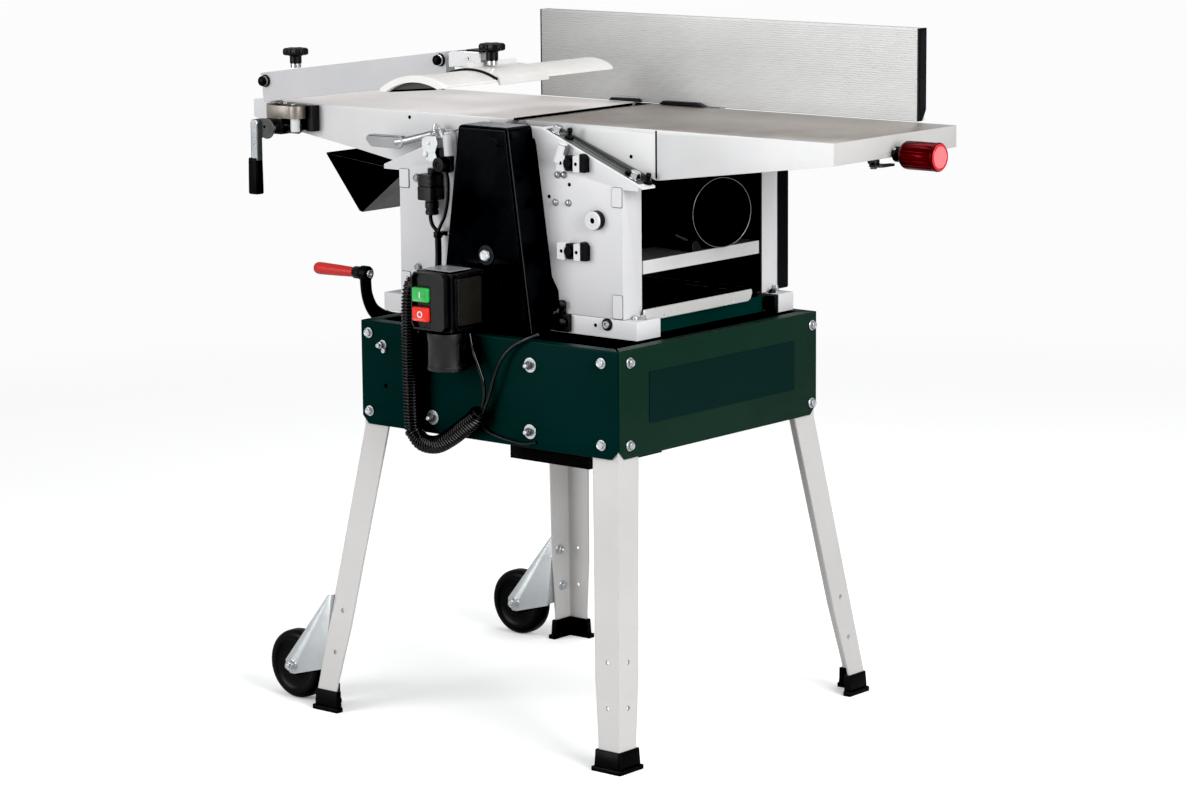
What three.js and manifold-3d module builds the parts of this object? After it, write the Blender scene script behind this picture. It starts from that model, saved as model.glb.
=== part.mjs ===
// Combined surface planer and thickness planer on a four-legged stand.
// Millimetres. +Z up, +X along the tables towards the infeed end, -Y towards
// the operator (front). The origin is on the floor in the middle of the overall
// length and width; the dimensions below are counted from the middle of the
// stand, MID_X away from it.
import * as THREE from 'three';
import { mergeVertices } from 'three/addons/utils/BufferGeometryUtils.js';
import { ConvexGeometry } from 'three/addons/geometries/ConvexGeometry.js';
import Module from 'manifold-3d';

const wasm = await Module();
wasm.setup();

// --------------------------------------------------------- shared dimensions
const GAP = 0.3;                          // running gap between neighbours
const COVER_GAP = 0.4;                    // gap behind parts mounted on a face
const MID_X = 13.75;                      // middle of the overall length
const TABLE_Z = 850;                      // working height of both tables
const TABLE_Y0 = -109.5, TABLE_Y1 = 173.3;
const STAND_X = 235.5, STAND_Y = 224.5;   // outside of the stand panels
const STAND_Z0 = 414.8, STAND_Z1 = 563.4;
const FPLATE_Y = -141.7, RPLATE_Y = 206.9; // outer faces of the side plates
const SLOPE = degrees(21.68);             // incline of the table ways
const WAY_TOP_Z = 846.3;                  // top edge of the side plates
const WAY_X_IN = 32.5, WAY_X_OUT = -84;   // where the inclined ways start
const CUT_X = -37, CUT_Z = 818.5;         // cutterblock axis
const CUT_Y0 = -96, CUT_Y1 = 163;         // planing width
const ROLL_Z = 801, ROLL_DX = 55;         // feed rollers, either side of the cutterblock
const BED_Y0 = -97.5, BED_Y1 = 164, BED_Z1 = 667.4;
const SCREWS = { left: [-180, -62], right: [125, 127] };  // lift screw axes, x and y
const CRANK_AXIS = [-62, 536];            // y and z
const COVER_Y = -194;                     // front face of the belt cover

// -------------------------------------------------------------------- finishes
const GREEN = 0x0c3a33, SILVER = 0xcfd0d2, BLACK = 0x101114, RUBBER = 0x0b0b0b;
const ZINC = 0xb9c0c2, STEEL = 0xa9acb0, ALU = 0xc9c6c2, RED = 0xc8262b, WHITE = 0xe9e8e5;
const FINISH = {                          // colour, roughness, metalness
  standPaint: [GREEN, 0.45, 0.1], panPaint: [GREEN, 0.5, 0.1],
  leg: [SILVER, 0.4, 0.3], rail: [SILVER, 0.5, 0.2], sidePlate: [SILVER, 0.45, 0.2],
  fenceMount: [SILVER, 0.5, 0.3], guardArm: [SILVER, 0.35, 0.7],
  boot: [RUBBER, 0.8, 0], rubberRoller: [RUBBER, 0.6, 0],
  plastic: [BLACK, 0.5, 0], glossCover: [BLACK, 0.25, 0], blackKnob: [BLACK, 0.4, 0],
  belt: [BLACK, 0.7, 0], conduit: [BLACK, 0.6, 0],
  motor: [BLACK, 0.5, 0.4], crank: [BLACK, 0.5, 0.2],
  zinc: [ZINC, 0.35, 0.8], brightZinc: [ZINC, 0.3, 0.9],
  table: [ALU, 0.35, 0.9], fence: [ALU, 0.4, 0.9], casting: [ALU, 0.6, 0.6],
  cutterblock: [STEEL, 0.3, 1], pulley: [STEEL, 0.4, 0.8], shaft: [STEEL, 0.4, 1],
  fingers: [STEEL, 0.5, 0.8], bed: [STEEL, 0.3, 0.9], nut: [STEEL, 0.4, 0.9],
  redGloss: [RED, 0.3, 0], red: [RED, 0.4, 0], greenButton: [0x3fae4e, 0.4, 0],
  blade: [WHITE, 0.35, 0.5], slider: [WHITE, 0.4, 0],
};

// ------------------------------------------------------------ helpers: ranges
// A range is [low, high] along one axis.
function degrees(angle) {
  return angle * Math.PI / 180;
}
const inset = ([low, high], by) => [low + by, high - by];
// the range between two distances from a place, in direction +1 or -1
const reach = (from, direction, near, far) =>
  direction > 0 ? [from + near, from + far] : [from - far, from - near];

// ------------------------------------------------------------ helpers: solids
function solid(geometry) {
  geometry.deleteAttribute('normal');
  geometry.deleteAttribute('uv');
  const merged = mergeVertices(geometry, 1e-4);
  return new wasm.Manifold(new wasm.Mesh({
    numProp: 3,
    vertProperties: new Float32Array(merged.attributes.position.array),
    triVerts: new Uint32Array(merged.index.array),
  }));
}
const join = (first, ...rest) => rest.reduce((a, b) => a.add(b), first);
const cut = (first, ...rest) => rest.reduce((a, b) => a.subtract(b), first);
const hull = points => solid(new ConvexGeometry(points.map(p => new THREE.Vector3(...p))));

function box([x0, x1], [y0, y1], [z0, z1]) {
  const geometry = new THREE.BoxGeometry(x1 - x0, y1 - y0, z1 - z0);
  geometry.translate((x0 + x1) / 2, (y0 + y1) / 2, (z0 + z1) / 2);
  return solid(geometry);
}

// Lays a body standing along +Y on the named axis; centre is its two other coordinates.
function layAlong(geometry, axis, [a, b]) {
  if (axis === 'x') geometry.rotateZ(-Math.PI / 2).translate(0, a, b);
  if (axis === 'y') geometry.translate(a, 0, b);
  if (axis === 'z') geometry.rotateX(Math.PI / 2).translate(a, b, 0);
  return solid(geometry);
}
function cylinder(axis, centre, radius, [start, end], segments = 20, endRadius = radius) {
  const geometry = new THREE.CylinderGeometry(endRadius, radius, end - start, segments);
  geometry.translate(0, (start + end) / 2, 0);
  return layAlong(geometry, axis, centre);
}
// profile: [radius, place along the axis]
function turned(axis, centre, profile, segments) {
  const points = profile.map(p => new THREE.Vector2(...p));
  return layAlong(new THREE.LatheGeometry(points, segments), axis, centre);
}
// a turned body with a bore: its profile is closed
const turnedRing = (axis, centre, profile, segments) =>
  turned(axis, centre, [...profile, profile[0]], segments);
// half: [radius, distance in from the end face], repeated from the other end
const symmetricProfile = (half, [start, end]) => [
  ...half.map(([r, depth]) => [r, start + depth]),
  ...half.map(([r, depth]) => [r, end - depth]).reverse()];

const vectors = outline => outline.map(p => new THREE.Vector2(...p));
function extruded(outline, depth, hole) {
  const shape = new THREE.Shape(vectors(outline));
  if (hole) shape.holes.push(new THREE.Path(vectors(hole)));
  return new THREE.ExtrudeGeometry(shape, { depth, bevelEnabled: false });
}
// outline in X,Z pushed along Y
const prismXZ = (outline, [y0, y1], hole) =>
  solid(extruded(outline, y1 - y0, hole).rotateX(Math.PI / 2).translate(0, y1, 0));
// outline in Y,Z pushed along X
const prismYZ = (outline, [x0, x1]) => solid(extruded(outline, x1 - x0).applyMatrix4(
  new THREE.Matrix4().set(0, 0, 1, x0, 1, 0, 0, 0, 0, 1, 0, 0, 0, 0, 0, 1)));
// outline in X,Y pushed along Z
const prismXY = (outline, [z0, z1]) => solid(extruded(outline, z1 - z0).translate(0, 0, z0));
// an X,Z outline turned about its own zero point, which is moved to (atX, atZ)
const placedXZ = (outline, atX, atZ, angle) => outline.map(([x, z]) => [
  atX + x * Math.cos(angle) - z * Math.sin(angle),
  atZ + x * Math.sin(angle) + z * Math.cos(angle)]);

// ------------------------------------------------------------ helpers: scene
const machine = new THREE.Group();
machine.name = 'planer_thicknesser';
const planer = new THREE.Group();         // counted from the middle of the stand
planer.position.set(-MID_X, 0, 0);
machine.add(planer);

function addGroup(name) {
  const group = new THREE.Group();
  group.name = name;
  planer.add(group);
  return group;
}
// a mesh whose geometry is local to its own reference point
function part(parent, name, body, origin, [color, roughness, metalness]) {
  const { numVert, numProp, vertProperties, triVerts } = body.getMesh();
  const positions = new Float32Array(numVert * 3);
  for (let i = 0; i < numVert; i++) {
    for (let k = 0; k < 3; k++) positions[3 * i + k] = vertProperties[i * numProp + k] - origin[k];
  }
  const geometry = new THREE.BufferGeometry();
  geometry.setAttribute('position', new THREE.BufferAttribute(positions, 3));
  geometry.setIndex(new THREE.BufferAttribute(new Uint32Array(triVerts), 1));
  geometry.computeVertexNormals();
  const material = new THREE.MeshStandardMaterial({ color, roughness, metalness });
  const mesh = new THREE.Mesh(geometry, material);
  mesh.name = name;
  mesh.position.set(...origin);
  parent.add(mesh);
}

// ---------------------------------------------------------------- stand panels
const stand = addGroup('stand');
{
  const SHEET = 2.5, CHAMFER = 12, LIP = 20;
  // half lengths, leaving a thin open slit at each corner
  const HALF_X = STAND_X - 0.6, HALF_Y = STAND_Y - 3.2;
  const lipZ = [STAND_Z1 - SHEET, STAND_Z1];
  const face = half => [
    [-half, STAND_Z1], [-half, STAND_Z0 + CHAMFER], [-half + CHAMFER, STAND_Z0],
    [half - CHAMFER, STAND_Z0], [half, STAND_Z0 + CHAMFER], [half, STAND_Z1]];

  for (const [name, side] of [['front', -1], ['rear', 1]]) {
    const outer = side * STAND_Y, inner = side * (STAND_Y - LIP);
    const lip = [[-HALF_X, outer], [HALF_X, outer], [HALF_X - LIP, inner], [-HALF_X + LIP, inner]];
    const sheet = prismXZ(face(HALF_X), reach(0, side, STAND_Y - SHEET, STAND_Y));
    part(stand, `stand_${name}_panel`, join(sheet, prismXY(lip, lipZ)),
      [0, outer, STAND_Z0], FINISH.standPaint);
  }
  const shaftHole = cylinder('x', CRANK_AXIS, 10, [-STAND_X - 5, -STAND_X + 10]);
  for (const [name, side, holes] of [['right', 1, []], ['left', -1, [shaftHole]]]) {
    const outer = side * STAND_X, inner = side * (STAND_X - LIP);
    const lip = [[outer, -HALF_Y], [outer, HALF_Y], [inner, HALF_Y - LIP], [inner, -HALF_Y + LIP]];
    const sheet = prismYZ(face(HALF_Y), reach(0, side, STAND_X - SHEET, STAND_X));
    part(stand, `stand_${name}_panel`, cut(join(sheet, prismXY(lip, lipZ)), ...holes),
      [outer, 0, STAND_Z0], FINISH.standPaint);
  }
}

// --------------------------------------------------------------- legs and feet
const LEG_T = 3, LEG_W = 44, LEG_W_KNEE = LEG_W - 3, LEG_W_FOOT = 36;  // sheet, flange widths
const LEG_TOP_Z = 556, LEG_BEND_Z = 412, LEG_KNEE_Z = 125;
const LEG_NARROW_Z = 40, LEG_END_Z = 10, FOOT_TOP_Z = 28;
const LEG_X0 = 232.4, LEG_Y0 = 221.4;     // leg corner inside the stand
const LEG_X1 = 280.5, LEG_Y1 = 281.5;     // leg corner at the foot's top
const LEG_HOLE_Z = [85, 145.5], LEG_HOLE_R = 3.2, LEG_HOLE_IN = 20;

// outer corner of a leg at a height
function cornerAt(z) {
  const t = Math.max(0, (LEG_BEND_Z - z) / (LEG_BEND_Z - FOOT_TOP_Z));
  return [LEG_X0 + (LEG_X1 - LEG_X0) * t, LEG_Y0 + (LEG_Y1 - LEG_Y0) * t];
}
function legWidthAt(z) {
  if (z > LEG_KNEE_Z) {
    const drop = LEG_BEND_Z - Math.min(z, LEG_BEND_Z);
    return LEG_W - (LEG_W - LEG_W_KNEE) * drop / (LEG_BEND_Z - LEG_KNEE_Z);
  }
  const rise = Math.max(0, z - LEG_NARROW_Z) / (LEG_KNEE_Z - LEG_NARROW_Z);
  return LEG_W_FOOT + (LEG_W_KNEE - LEG_W_FOOT) * rise;
}
// Sections of the leg; grow enlarges them on every side.
const legSections = (heights, grow = 0) => heights.map(z => ({
  z, corner: cornerAt(z), out: grow, width: legWidthAt(z) + grow, thick: LEG_T + grow }));

// Angle bar through L sections. In a section, out is how far it goes beyond the
// corner, and width and thick are counted inwards from the corner.
function angleBar(sections, sx, sy) {
  const flange = (pair, alongX) => hull(pair.flatMap(({ z, corner, out, width, thick }) => {
    const [inX, inY] = alongX ? [-width, -thick] : [-thick, -width];
    return [[out, out], [out, inY], [inX, out], [inX, inY]]
      .map(([u, v]) => [sx * (corner[0] + u), sy * (corner[1] + v), z]);
  }));
  const pairs = sections.slice(1).map((upper, i) => [sections[i], upper]);
  return join(...pairs.flatMap(pair => [flange(pair, false), flange(pair, true)]));
}

// two holes low in each flange
const legHoles = (sx, sy) => LEG_HOLE_Z.flatMap((z) => {
  const [cx, cy] = cornerAt(z);
  return [
    cylinder('x', [sy * (cy - LEG_HOLE_IN), z], LEG_HOLE_R, reach(0, sx, cx - 8, cx + 6), 10),
    cylinder('y', [sx * (cx - LEG_HOLE_IN), z], LEG_HOLE_R, reach(0, sy, cy - 8, cy + 6), 10)];
});

// rubber boot: a flared L block with a pocket for the leg
function boot(sx, sy) {
  const corner = cornerAt(FOOT_TOP_Z);
  const sections = [
    { z: 0, corner, out: 6.5, width: 44, thick: 12 },
    { z: 6, corner, out: 5.5, width: 43, thick: 11.5 },
    { z: FOOT_TOP_Z + 2, corner, out: 4.4, width: 39, thick: 8.5 }];
  const pocket = legSections([LEG_END_Z - 0.4, LEG_NARROW_Z], 0.35);
  return cut(angleBar(sections, sx, sy), angleBar(pocket, sx, sy));
}

for (const [sideY, sy] of [['front', -1], ['rear', 1]]) {
  for (const [sideX, sx] of [['left', -1], ['right', 1]]) {
    const heights = [LEG_END_Z, LEG_NARROW_Z, LEG_KNEE_Z, LEG_BEND_Z, LEG_TOP_Z];
    const leg = cut(angleBar(legSections(heights), sx, sy), ...legHoles(sx, sy));
    part(stand, `leg_${sideY}_${sideX}`, leg, [sx * LEG_X0, sy * LEG_Y0, LEG_TOP_Z], FINISH.leg);
    part(stand, `foot_${sideY}_${sideX}`, boot(sx, sy), [sx * LEG_X1, sy * LEG_Y1, 0], FINISH.boot);
  }
}

// ------------------------------------ wheels on the two legs at the outfeed end
const WHEEL_R = 50.5, WHEEL_W = 28, WHEEL_X = -345, WHEEL_Z = 51;
for (const [name, wheelY] of [['front', -250], ['rear', 242]]) {
  const rim = WHEEL_R - 12, hub = 17;
  const faces = [wheelY - WHEEL_W / 2, wheelY + WHEEL_W / 2];
  const half = [[6.6, 2], [hub, 0], [hub, 3], [rim, 3], [rim + 2, 0], [WHEEL_R - 4, 0], [WHEEL_R, 5]];
  const wheel = turnedRing('y', [WHEEL_X, WHEEL_Z], symmetricProfile(half, faces), 28);
  part(stand, `wheel_${name}`, wheel, [WHEEL_X, wheelY, WHEEL_Z], FINISH.plastic);

  // bracket: a cheek on the operator side of the wheel, a tab on the leg, the axle
  const sheet = 2.6, topZ = 166, tabZ = 58, cheekZ = 56;
  const y0 = faces[0] - 4;
  const legFace = z => -cornerAt(z)[0] - 0.4;
  const cheek = prismXZ([[legFace(topZ), topZ], [legFace(topZ) - 6, topZ], [-357.5, 58],
    [-357, 46], [-349, 38.6], [-340, 38.6], [legFace(cheekZ), cheekZ]], [y0, y0 + sheet]);
  const tab = prismXZ([[legFace(topZ), topZ], [legFace(topZ) - sheet, topZ],
    [legFace(tabZ) - sheet, tabZ], [legFace(tabZ), tabZ]], [y0, y0 + 30]);
  const axle = cylinder('y', [WHEEL_X, WHEEL_Z], 6.2, [y0 - 6, faces[1] + 6], 16);
  part(stand, `wheel_bracket_${name}`, join(cheek, tab, axle), [legFace(topZ), y0, topZ],
    FINISH.zinc);
}

// ------------------------------------------------------------------ base frame
const base = addGroup('base_frame');
{ // rails: inverted channels on the stand
  const RAIL_X = [-267, 202], RAIL_Z1 = 590.2, WALL = 3;
  for (const [name, ys] of [['front', [FPLATE_Y, -89.7]], ['rear', [178, 214]]]) {
    const rail = cut(box(RAIL_X, ys, [STAND_Z1 + GAP, RAIL_Z1]),
      box(inset(RAIL_X, WALL), inset(ys, WALL), [STAND_Z1 - 5, RAIL_Z1 - WALL]));
    part(base, `base_rail_${name}`, rail, [RAIL_X[0], ys[0], STAND_Z1], FINISH.rail);
  }
}
{ // folded pan between the rails, with a rolled bar along its infeed lip
  const z0 = STAND_Z1 + GAP, SHEET = 2.5, X0 = -226, X1 = 176;
  const ys = [-88.7, 177], wallZ = [z0, 586];
  const crown = [[178.6, 597], [176, 600.4], [171, 601], [168, 598]];
  const roll = prismXZ([[168, 585], [178, 585], [178.6, 589], ...crown], [-88.7, 143.6]);
  const rollTip = prismXZ([[168, 590.8], [178.6, 590.8], ...crown], [-99.5, -88.6]);
  const screwHoles = Object.values(SCREWS).map(axis => cylinder('z', axis, 12.5, [550, 575]));
  const pan = cut(join(box([X0, X1], ys, [z0, z0 + SHEET]), box([X1 - SHEET, X1], ys, wallZ),
    box([X0, X0 + SHEET], ys, wallZ), roll, rollTip), ...screwHoles);
  part(base, 'base_pan', pan, [0, 0, z0], FINISH.panPaint);
}

// height of the inclined table ways: falling away from the cutterblock both ways
const wayHeight = x => x > 0
  ? WAY_TOP_Z - (x - WAY_X_IN) * Math.tan(SLOPE)
  : WAY_TOP_Z + (x - WAY_X_OUT) * Math.tan(SLOPE);

// side plate: flat sheet, inclined flanges on top and an upright flange at each end
const PLATE_Z0 = 591;
function sidePlate(outerY, side, wayWidth, uprightWidth) {
  const SHEET = 3, X0 = -232, X1 = 178, WING_Z = 769, FLANGE_TOP = 772;
  const WING_X0 = -262, WING_X1 = 206.3;
  const outline = [
    [X0, PLATE_Z0], [X1, PLATE_Z0], [X1, WING_Z], [205, WING_Z], [WING_X1, wayHeight(WING_X1)],
    [WAY_X_IN, WAY_TOP_Z], [WAY_X_OUT, WAY_TOP_Z], [WING_X0, wayHeight(WING_X0)],
    [WING_X0, WING_Z], [X0, WING_Z]];
  const across = width => reach(outerY, -side, 0, width);
  const way = (xa, xb) => prismXZ([[xa, wayHeight(xa)], [xb, wayHeight(xb)],
    [xb, wayHeight(xb) - 3.2], [xa, wayHeight(xa) - 3.2]], across(wayWidth));
  const upright = xs => box(xs, across(uprightWidth), [PLATE_Z0, FLANGE_TOP]);
  const sheetY = across(SHEET);
  const bore = (x, z, radius, segments) =>
    cylinder('y', [x, z], radius, inset(sheetY, -5), segments);
  return cut(join(prismXZ(outline, sheetY), way(34, 212), way(WING_X0, -85.5),
    upright([X1 - SHEET, X1]), upright([X0, X0 + SHEET])),
  bore(CUT_X, CUT_Z, 20, 24),
  bore(CUT_X + ROLL_DX, ROLL_Z, 7, 12), bore(CUT_X - ROLL_DX, ROLL_Z, 7, 12));
}
part(base, 'front_plate', sidePlate(FPLATE_Y, -1, 28.5, 40.7), [0, FPLATE_Y, PLATE_Z0],
  FINISH.sidePlate);
part(base, 'rear_plate', sidePlate(RPLATE_Y, 1, 30, 36.3), [0, RPLATE_Y, PLATE_Z0],
  FINISH.sidePlate);

{ // cover on the outside of the rear plate, open towards it
  const outer = [[-190, 592], [179, 592], [179, 762], [120, 815], [-150, 815], [-190, 775]];
  const inner = [[-187, 595], [176, 595], [176, 760], [119, 812], [-149, 812], [-187, 773]];
  part(base, 'rear_drive_cover',
    cut(prismXZ(outer, [RPLATE_Y + GAP, 232]), prismXZ(inner, [RPLATE_Y - 5, 229])),
    [0, RPLATE_Y, 592], FINISH.plastic);
}
{ // tapered belt cover, open towards the front plate and at the bottom
  const MIDDLE_X = -28, TAPER = 0.142, TOP_HALF = 45, WALL = 2;
  const Z0 = 567, Z1 = 847.5;
  const half = z => TOP_HALF + TAPER * (Z1 - z);
  const outline = (wall, bottom) => [
    [MIDDLE_X - half(Z1) + wall, Z1 - wall], [MIDDLE_X - half(Z0) + wall, bottom],
    [MIDDLE_X + half(Z0) - wall, bottom], [MIDDLE_X + half(Z1) - wall, Z1 - wall]];
  const cover = cut(prismXZ(outline(0, Z0), [COVER_Y, FPLATE_Y - COVER_GAP]),
    prismXZ(outline(WALL, Z0 - 10), [COVER_Y + WALL, FPLATE_Y + 5]));
  part(base, 'belt_cover', cover, [MIDDLE_X, COVER_Y, Z0], FINISH.glossCover);
}

// ---------------------------------------------------------------------- tables
const tables = addGroup('tables');
const IN_X0 = -21, IN_X1 = 507.1;         // infeed table
const OUT_X0 = -554, OUT_X1 = -54;        // outfeed table
const TABLE_T = 8, SKIRT_T = 5;           // table plate and skirt
const BELOW_TABLE = 700;                  // cuts from below start here
const KNOB_AXIS = [28, 824.2];            // depth knob, y and z
const LOCK_AXIS = [490, 4];               // depth lock lever, x and y

// cast table: outline in X,Z, hollowed from below between its ribs
const castTable = (outline, voids) => cut(prismXZ(outline, [TABLE_Y0, TABLE_Y1]),
  ...voids.map(xs =>
    box(xs, inset([TABLE_Y0, TABLE_Y1], SKIRT_T), [BELOW_TABLE, TABLE_Z - TABLE_T])));
{
  const casting = castTable([
    [IN_X0, TABLE_Z], [IN_X0, TABLE_Z - 2.5], [-10.5, 840], [-3, 835], [60, 835],
    [211, 781], [IN_X1 - 4, 819.5], [IN_X1, 820.5], [IN_X1, TABLE_Z]],
  [[-2, 146], [152, 326], [332, IN_X1 - SKIRT_T]]);
  const grooves = [[TABLE_Y0 - 1, TABLE_Y0 + 1.2], [TABLE_Y1 - 1.2, TABLE_Y1 + 1]]
    .map(ys => box([210.3, 211.3], ys, [BELOW_TABLE, TABLE_Z - 6]));
  const screwHole = cylinder('x', KNOB_AXIS, 5.5, [495, 515], 16);
  const ribNotch = box([325, 333], [16, 40], [BELOW_TABLE, 839.5]);
  const lockBoss = cylinder('z', LOCK_AXIS, 8, [819, TABLE_Z - TABLE_T + 1], 16);
  part(tables, 'infeed_table', join(cut(casting, ...grooves, screwHole, ribNotch), lockBoss),
    [IN_X0, 0, TABLE_Z], FINISH.table);
}
part(tables, 'outfeed_table', castTable([
  [OUT_X1, TABLE_Z], [OUT_X1, TABLE_Z - 2.5], [-63.5, 840], [-71, 835], [-135, 835],
  [-274, 777.2], [-347, 789.5], [-455, 806], [OUT_X0 + 3, 823], [OUT_X0, 824], [OUT_X0, TABLE_Z]],
[[OUT_X0 + SKIRT_T, -366], [-360, -206], [-200, -72]]), [OUT_X1, 0, TABLE_Z], FINISH.table);

{ // depth-of-cut knob: fluted handwheel on a long screw along the infeed table
  const RADIUS = 19.6, FLUTE = 1.5, POINTS = 48, INNER_X = 522;
  const fluted = Array.from({ length: POINTS }, (_, i) => {
    const angle = 2 * Math.PI * i / POINTS;
    const r = RADIUS - (i % 4 === 2 ? FLUTE : 0);
    return [KNOB_AXIS[0] + r * Math.cos(angle), KNOB_AXIS[1] + r * Math.sin(angle)];
  });
  const knob = join(prismYZ(fluted, [INNER_X, 574]),
    cylinder('x', KNOB_AXIS, RADIUS, [573.8, 581.5], 24, 15.4),
    cylinder('x', KNOB_AXIS, 9, [514, INNER_X + 0.2], 20, 17),
    cylinder('x', KNOB_AXIS, 5, [340, 516], 14));
  part(tables, 'depth_knob', knob, [INNER_X, ...KNOB_AXIS], FINISH.redGloss);
}
{ // lock lever under the infeed table's end
  const blade = [[487, -5], [498, -13], [511, -13], [512, 24], [503, 24], [500, 13], [487, 11]];
  const lever = join(cylinder('z', LOCK_AXIS, 8, [808, 818.5], 16), prismXY(blade, [809, 813]));
  part(tables, 'depth_lock_lever', lever, [...LOCK_AXIS, 808], FINISH.zinc);
}
{ // clamping lever of the outfeed table, its hub square to the inclined way
  const X = -166, z = wayHeight(X);
  const hub = placedXZ([[-9, 0.6], [9, 0.6], [9, 17], [-9, 17]], X, z, SLOPE);
  const endFace = (x, ys, zs) => ys.flatMap(y => zs.map(height => [x, y, height]));
  const arm = hull([...endFace(X - 6, [-132, -126], [z + 9, z + 15]),
    ...endFace(-232, [-146, -141], [803, 812])]);
  const paddle = [[-226, 817], [-288, 816], [-293, 811], [-282, 800], [-224, 800]];
  const lever = join(prismXZ(hub, [-136, -118]), arm, prismXZ(paddle, [-146.5, -143.9]));
  part(tables, 'outfeed_clamp_lever', lever, [X, -127, z], FINISH.brightZinc);
}

// ----------------------------------------------- cutterblock, drive and feeding
const cutter = addGroup('cutterblock_group');
const MOTOR_X = -20, MOTOR_Z = 484, MOTOR_R = 69;
const MOTOR_AXIS = [MOTOR_X, MOTOR_Z];
const CUT_AXIS = [CUT_X, CUT_Z];
const PULLEY_C = 20, PULLEY_M = 42;       // cutter and motor pulley radii
const BELT_T = 4, BELT_Y0 = -174, BELT_Y1 = -158;

{ // cutterblock with two knives, each over a gullet
  const BODY_R = 29.5, COLLAR_R = 16, SHAFT_R = 12;
  const body = turned('y', CUT_AXIS, [
    [0, -182], [9, -182], [9, -151], [SHAFT_R, -150.5], [SHAFT_R, CUT_Y0 - 6],
    [COLLAR_R, CUT_Y0 - 5.5], [COLLAR_R, CUT_Y0], [BODY_R, CUT_Y0],
    [BODY_R, CUT_Y1], [COLLAR_R, CUT_Y1], [COLLAR_R, CUT_Y1 + 5.5],
    [SHAFT_R, CUT_Y1 + 6], [SHAFT_R, 205.5], [0, 205.5]], 28);
  const knife = side =>
    box(reach(CUT_X, side, 18, 31.4), [CUT_Y0, CUT_Y1], [CUT_Z - 1.5, CUT_Z + 1.5]);
  const gullet = side =>
    box(reach(CUT_X, side, 22, 32), [CUT_Y0 - 1, CUT_Y1 + 1], reach(CUT_Z, side, 1.4, 8));
  part(cutter, 'cutterblock', join(cut(body, gullet(1), gullet(-1)), knife(1), knife(-1)),
    [CUT_X, CUT_Y0, CUT_Z], FINISH.cutterblock);
}

// pulley with a rim at each end of the belt's track
function pulley(axis, radius, bore, segments) {
  const half = [[bore, 0], [radius + 2, 0], [radius + 2, 1.2], [radius, 1.3]];
  const profile = symmetricProfile(half, [BELT_Y0 - 1.5, BELT_Y1 + 1.5]);
  return turnedRing('y', axis, profile, segments);
}
part(cutter, 'cutter_pulley', pulley(CUT_AXIS, PULLEY_C, 9.3, 24), [CUT_X, BELT_Y0, CUT_Z],
  FINISH.pulley);
part(cutter, 'motor_pulley', join(pulley(MOTOR_AXIS, PULLEY_M, 8.5, 28),
  cylinder('y', MOTOR_AXIS, 9, [-181, -128.5])), [MOTOR_X, BELT_Y0, MOTOR_Z], FINISH.pulley);

// belt outline: a circle about each pulley, joined by their outer tangents
function beltLoop(clearance) {
  const cutterR = PULLEY_C + clearance, motorR = PULLEY_M + clearance;
  const dx = CUT_X - MOTOR_X, dz = CUT_Z - MOTOR_Z;
  const heading = Math.atan2(dz, dx);
  const wrap = Math.acos((motorR - cutterR) / Math.hypot(dx, dz));
  const arc = ([x, z], radius, start, sweep, steps) =>
    Array.from({ length: steps + 1 }, (_, i) => {
      const angle = start + sweep * i / steps;
      return [x + radius * Math.cos(angle), z + radius * Math.sin(angle)];
    });
  return [...arc(MOTOR_AXIS, motorR, heading + wrap, 2 * Math.PI - 2 * wrap, 16),
    ...arc(CUT_AXIS, cutterR, heading - wrap, 2 * wrap, 12)];
}
part(cutter, 'drive_belt',
  prismXZ(beltLoop(GAP + BELT_T), [BELT_Y0, BELT_Y1], beltLoop(0.6).reverse()),
  [CUT_X, BELT_Y0, CUT_Z], FINISH.belt);

// thicknessing feeds towards +X, so the infeed roller is on the -X side
for (const [name, x, finish] of [['infeed', CUT_X - ROLL_DX, FINISH.shaft],
  ['outfeed', CUT_X + ROLL_DX, FINISH.rubberRoller]]) {
  const RADIUS = 16, JOURNAL_R = 6.5, y0 = CUT_Y0 - 1, y1 = CUT_Y1 + 1;
  const roller = turned('y', [x, ROLL_Z], [
    [0, -137], [JOURNAL_R, -137], [JOURNAL_R, y0], [RADIUS, y0],
    [RADIUS, y1], [JOURNAL_R, y1], [JOURNAL_R, 218], [0, 218]], 20);
  part(cutter, `${name}_roller`, roller, [x, 0, ROLL_Z], finish);
}
{ // anti-kickback fingers on their rod, ahead of the thicknessing infeed roller
  const X = CUT_X - 92, Z = 808, COUNT = 8, PITCH = 30, FIRST_Y = -80, THICK = 12;
  const outline = [[-8, 5], [8, 5], [11, -8], [3, -24], [-3, -24], [-8, -8]]
    .map(([x, z]) => [X + x, Z + z]);
  const fingers = Array.from({ length: COUNT }, (_, i) => {
    const y = FIRST_Y + i * PITCH;
    return prismXZ(outline, [y, y + THICK]);
  });
  part(cutter, 'anti_kickback_fingers',
    join(cylinder('y', [X, Z], 6, [-137, 202], 14), ...fingers), [X, 0, Z], FINISH.fingers);
}
{ // motor below the base pan, its open-topped bracket reaching to the front panel
  const can = turned('y', MOTOR_AXIS, [[0, -128], [MOTOR_R - 8, -128], [MOTOR_R, -120],
    [MOTOR_R, 50], [MOTOR_R - 10, 66], [0, 66]], 32);
  const xs = [-112, 92], zs = [428, 541];
  const bracket = cut(box(xs, [-221.4, -127.5], zs),
    box(inset(xs, 4), [-217.4, -133], inset(zs, -5)),
    cylinder('y', MOTOR_AXIS, 20, [-140, -128.2]));
  const lowerBox = box([-62, 84], [-104, 58], [366, 425]);
  part(cutter, 'motor_housing', join(can, bracket, lowerBox), [MOTOR_X, 0, MOTOR_Z], FINISH.motor);
}

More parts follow.
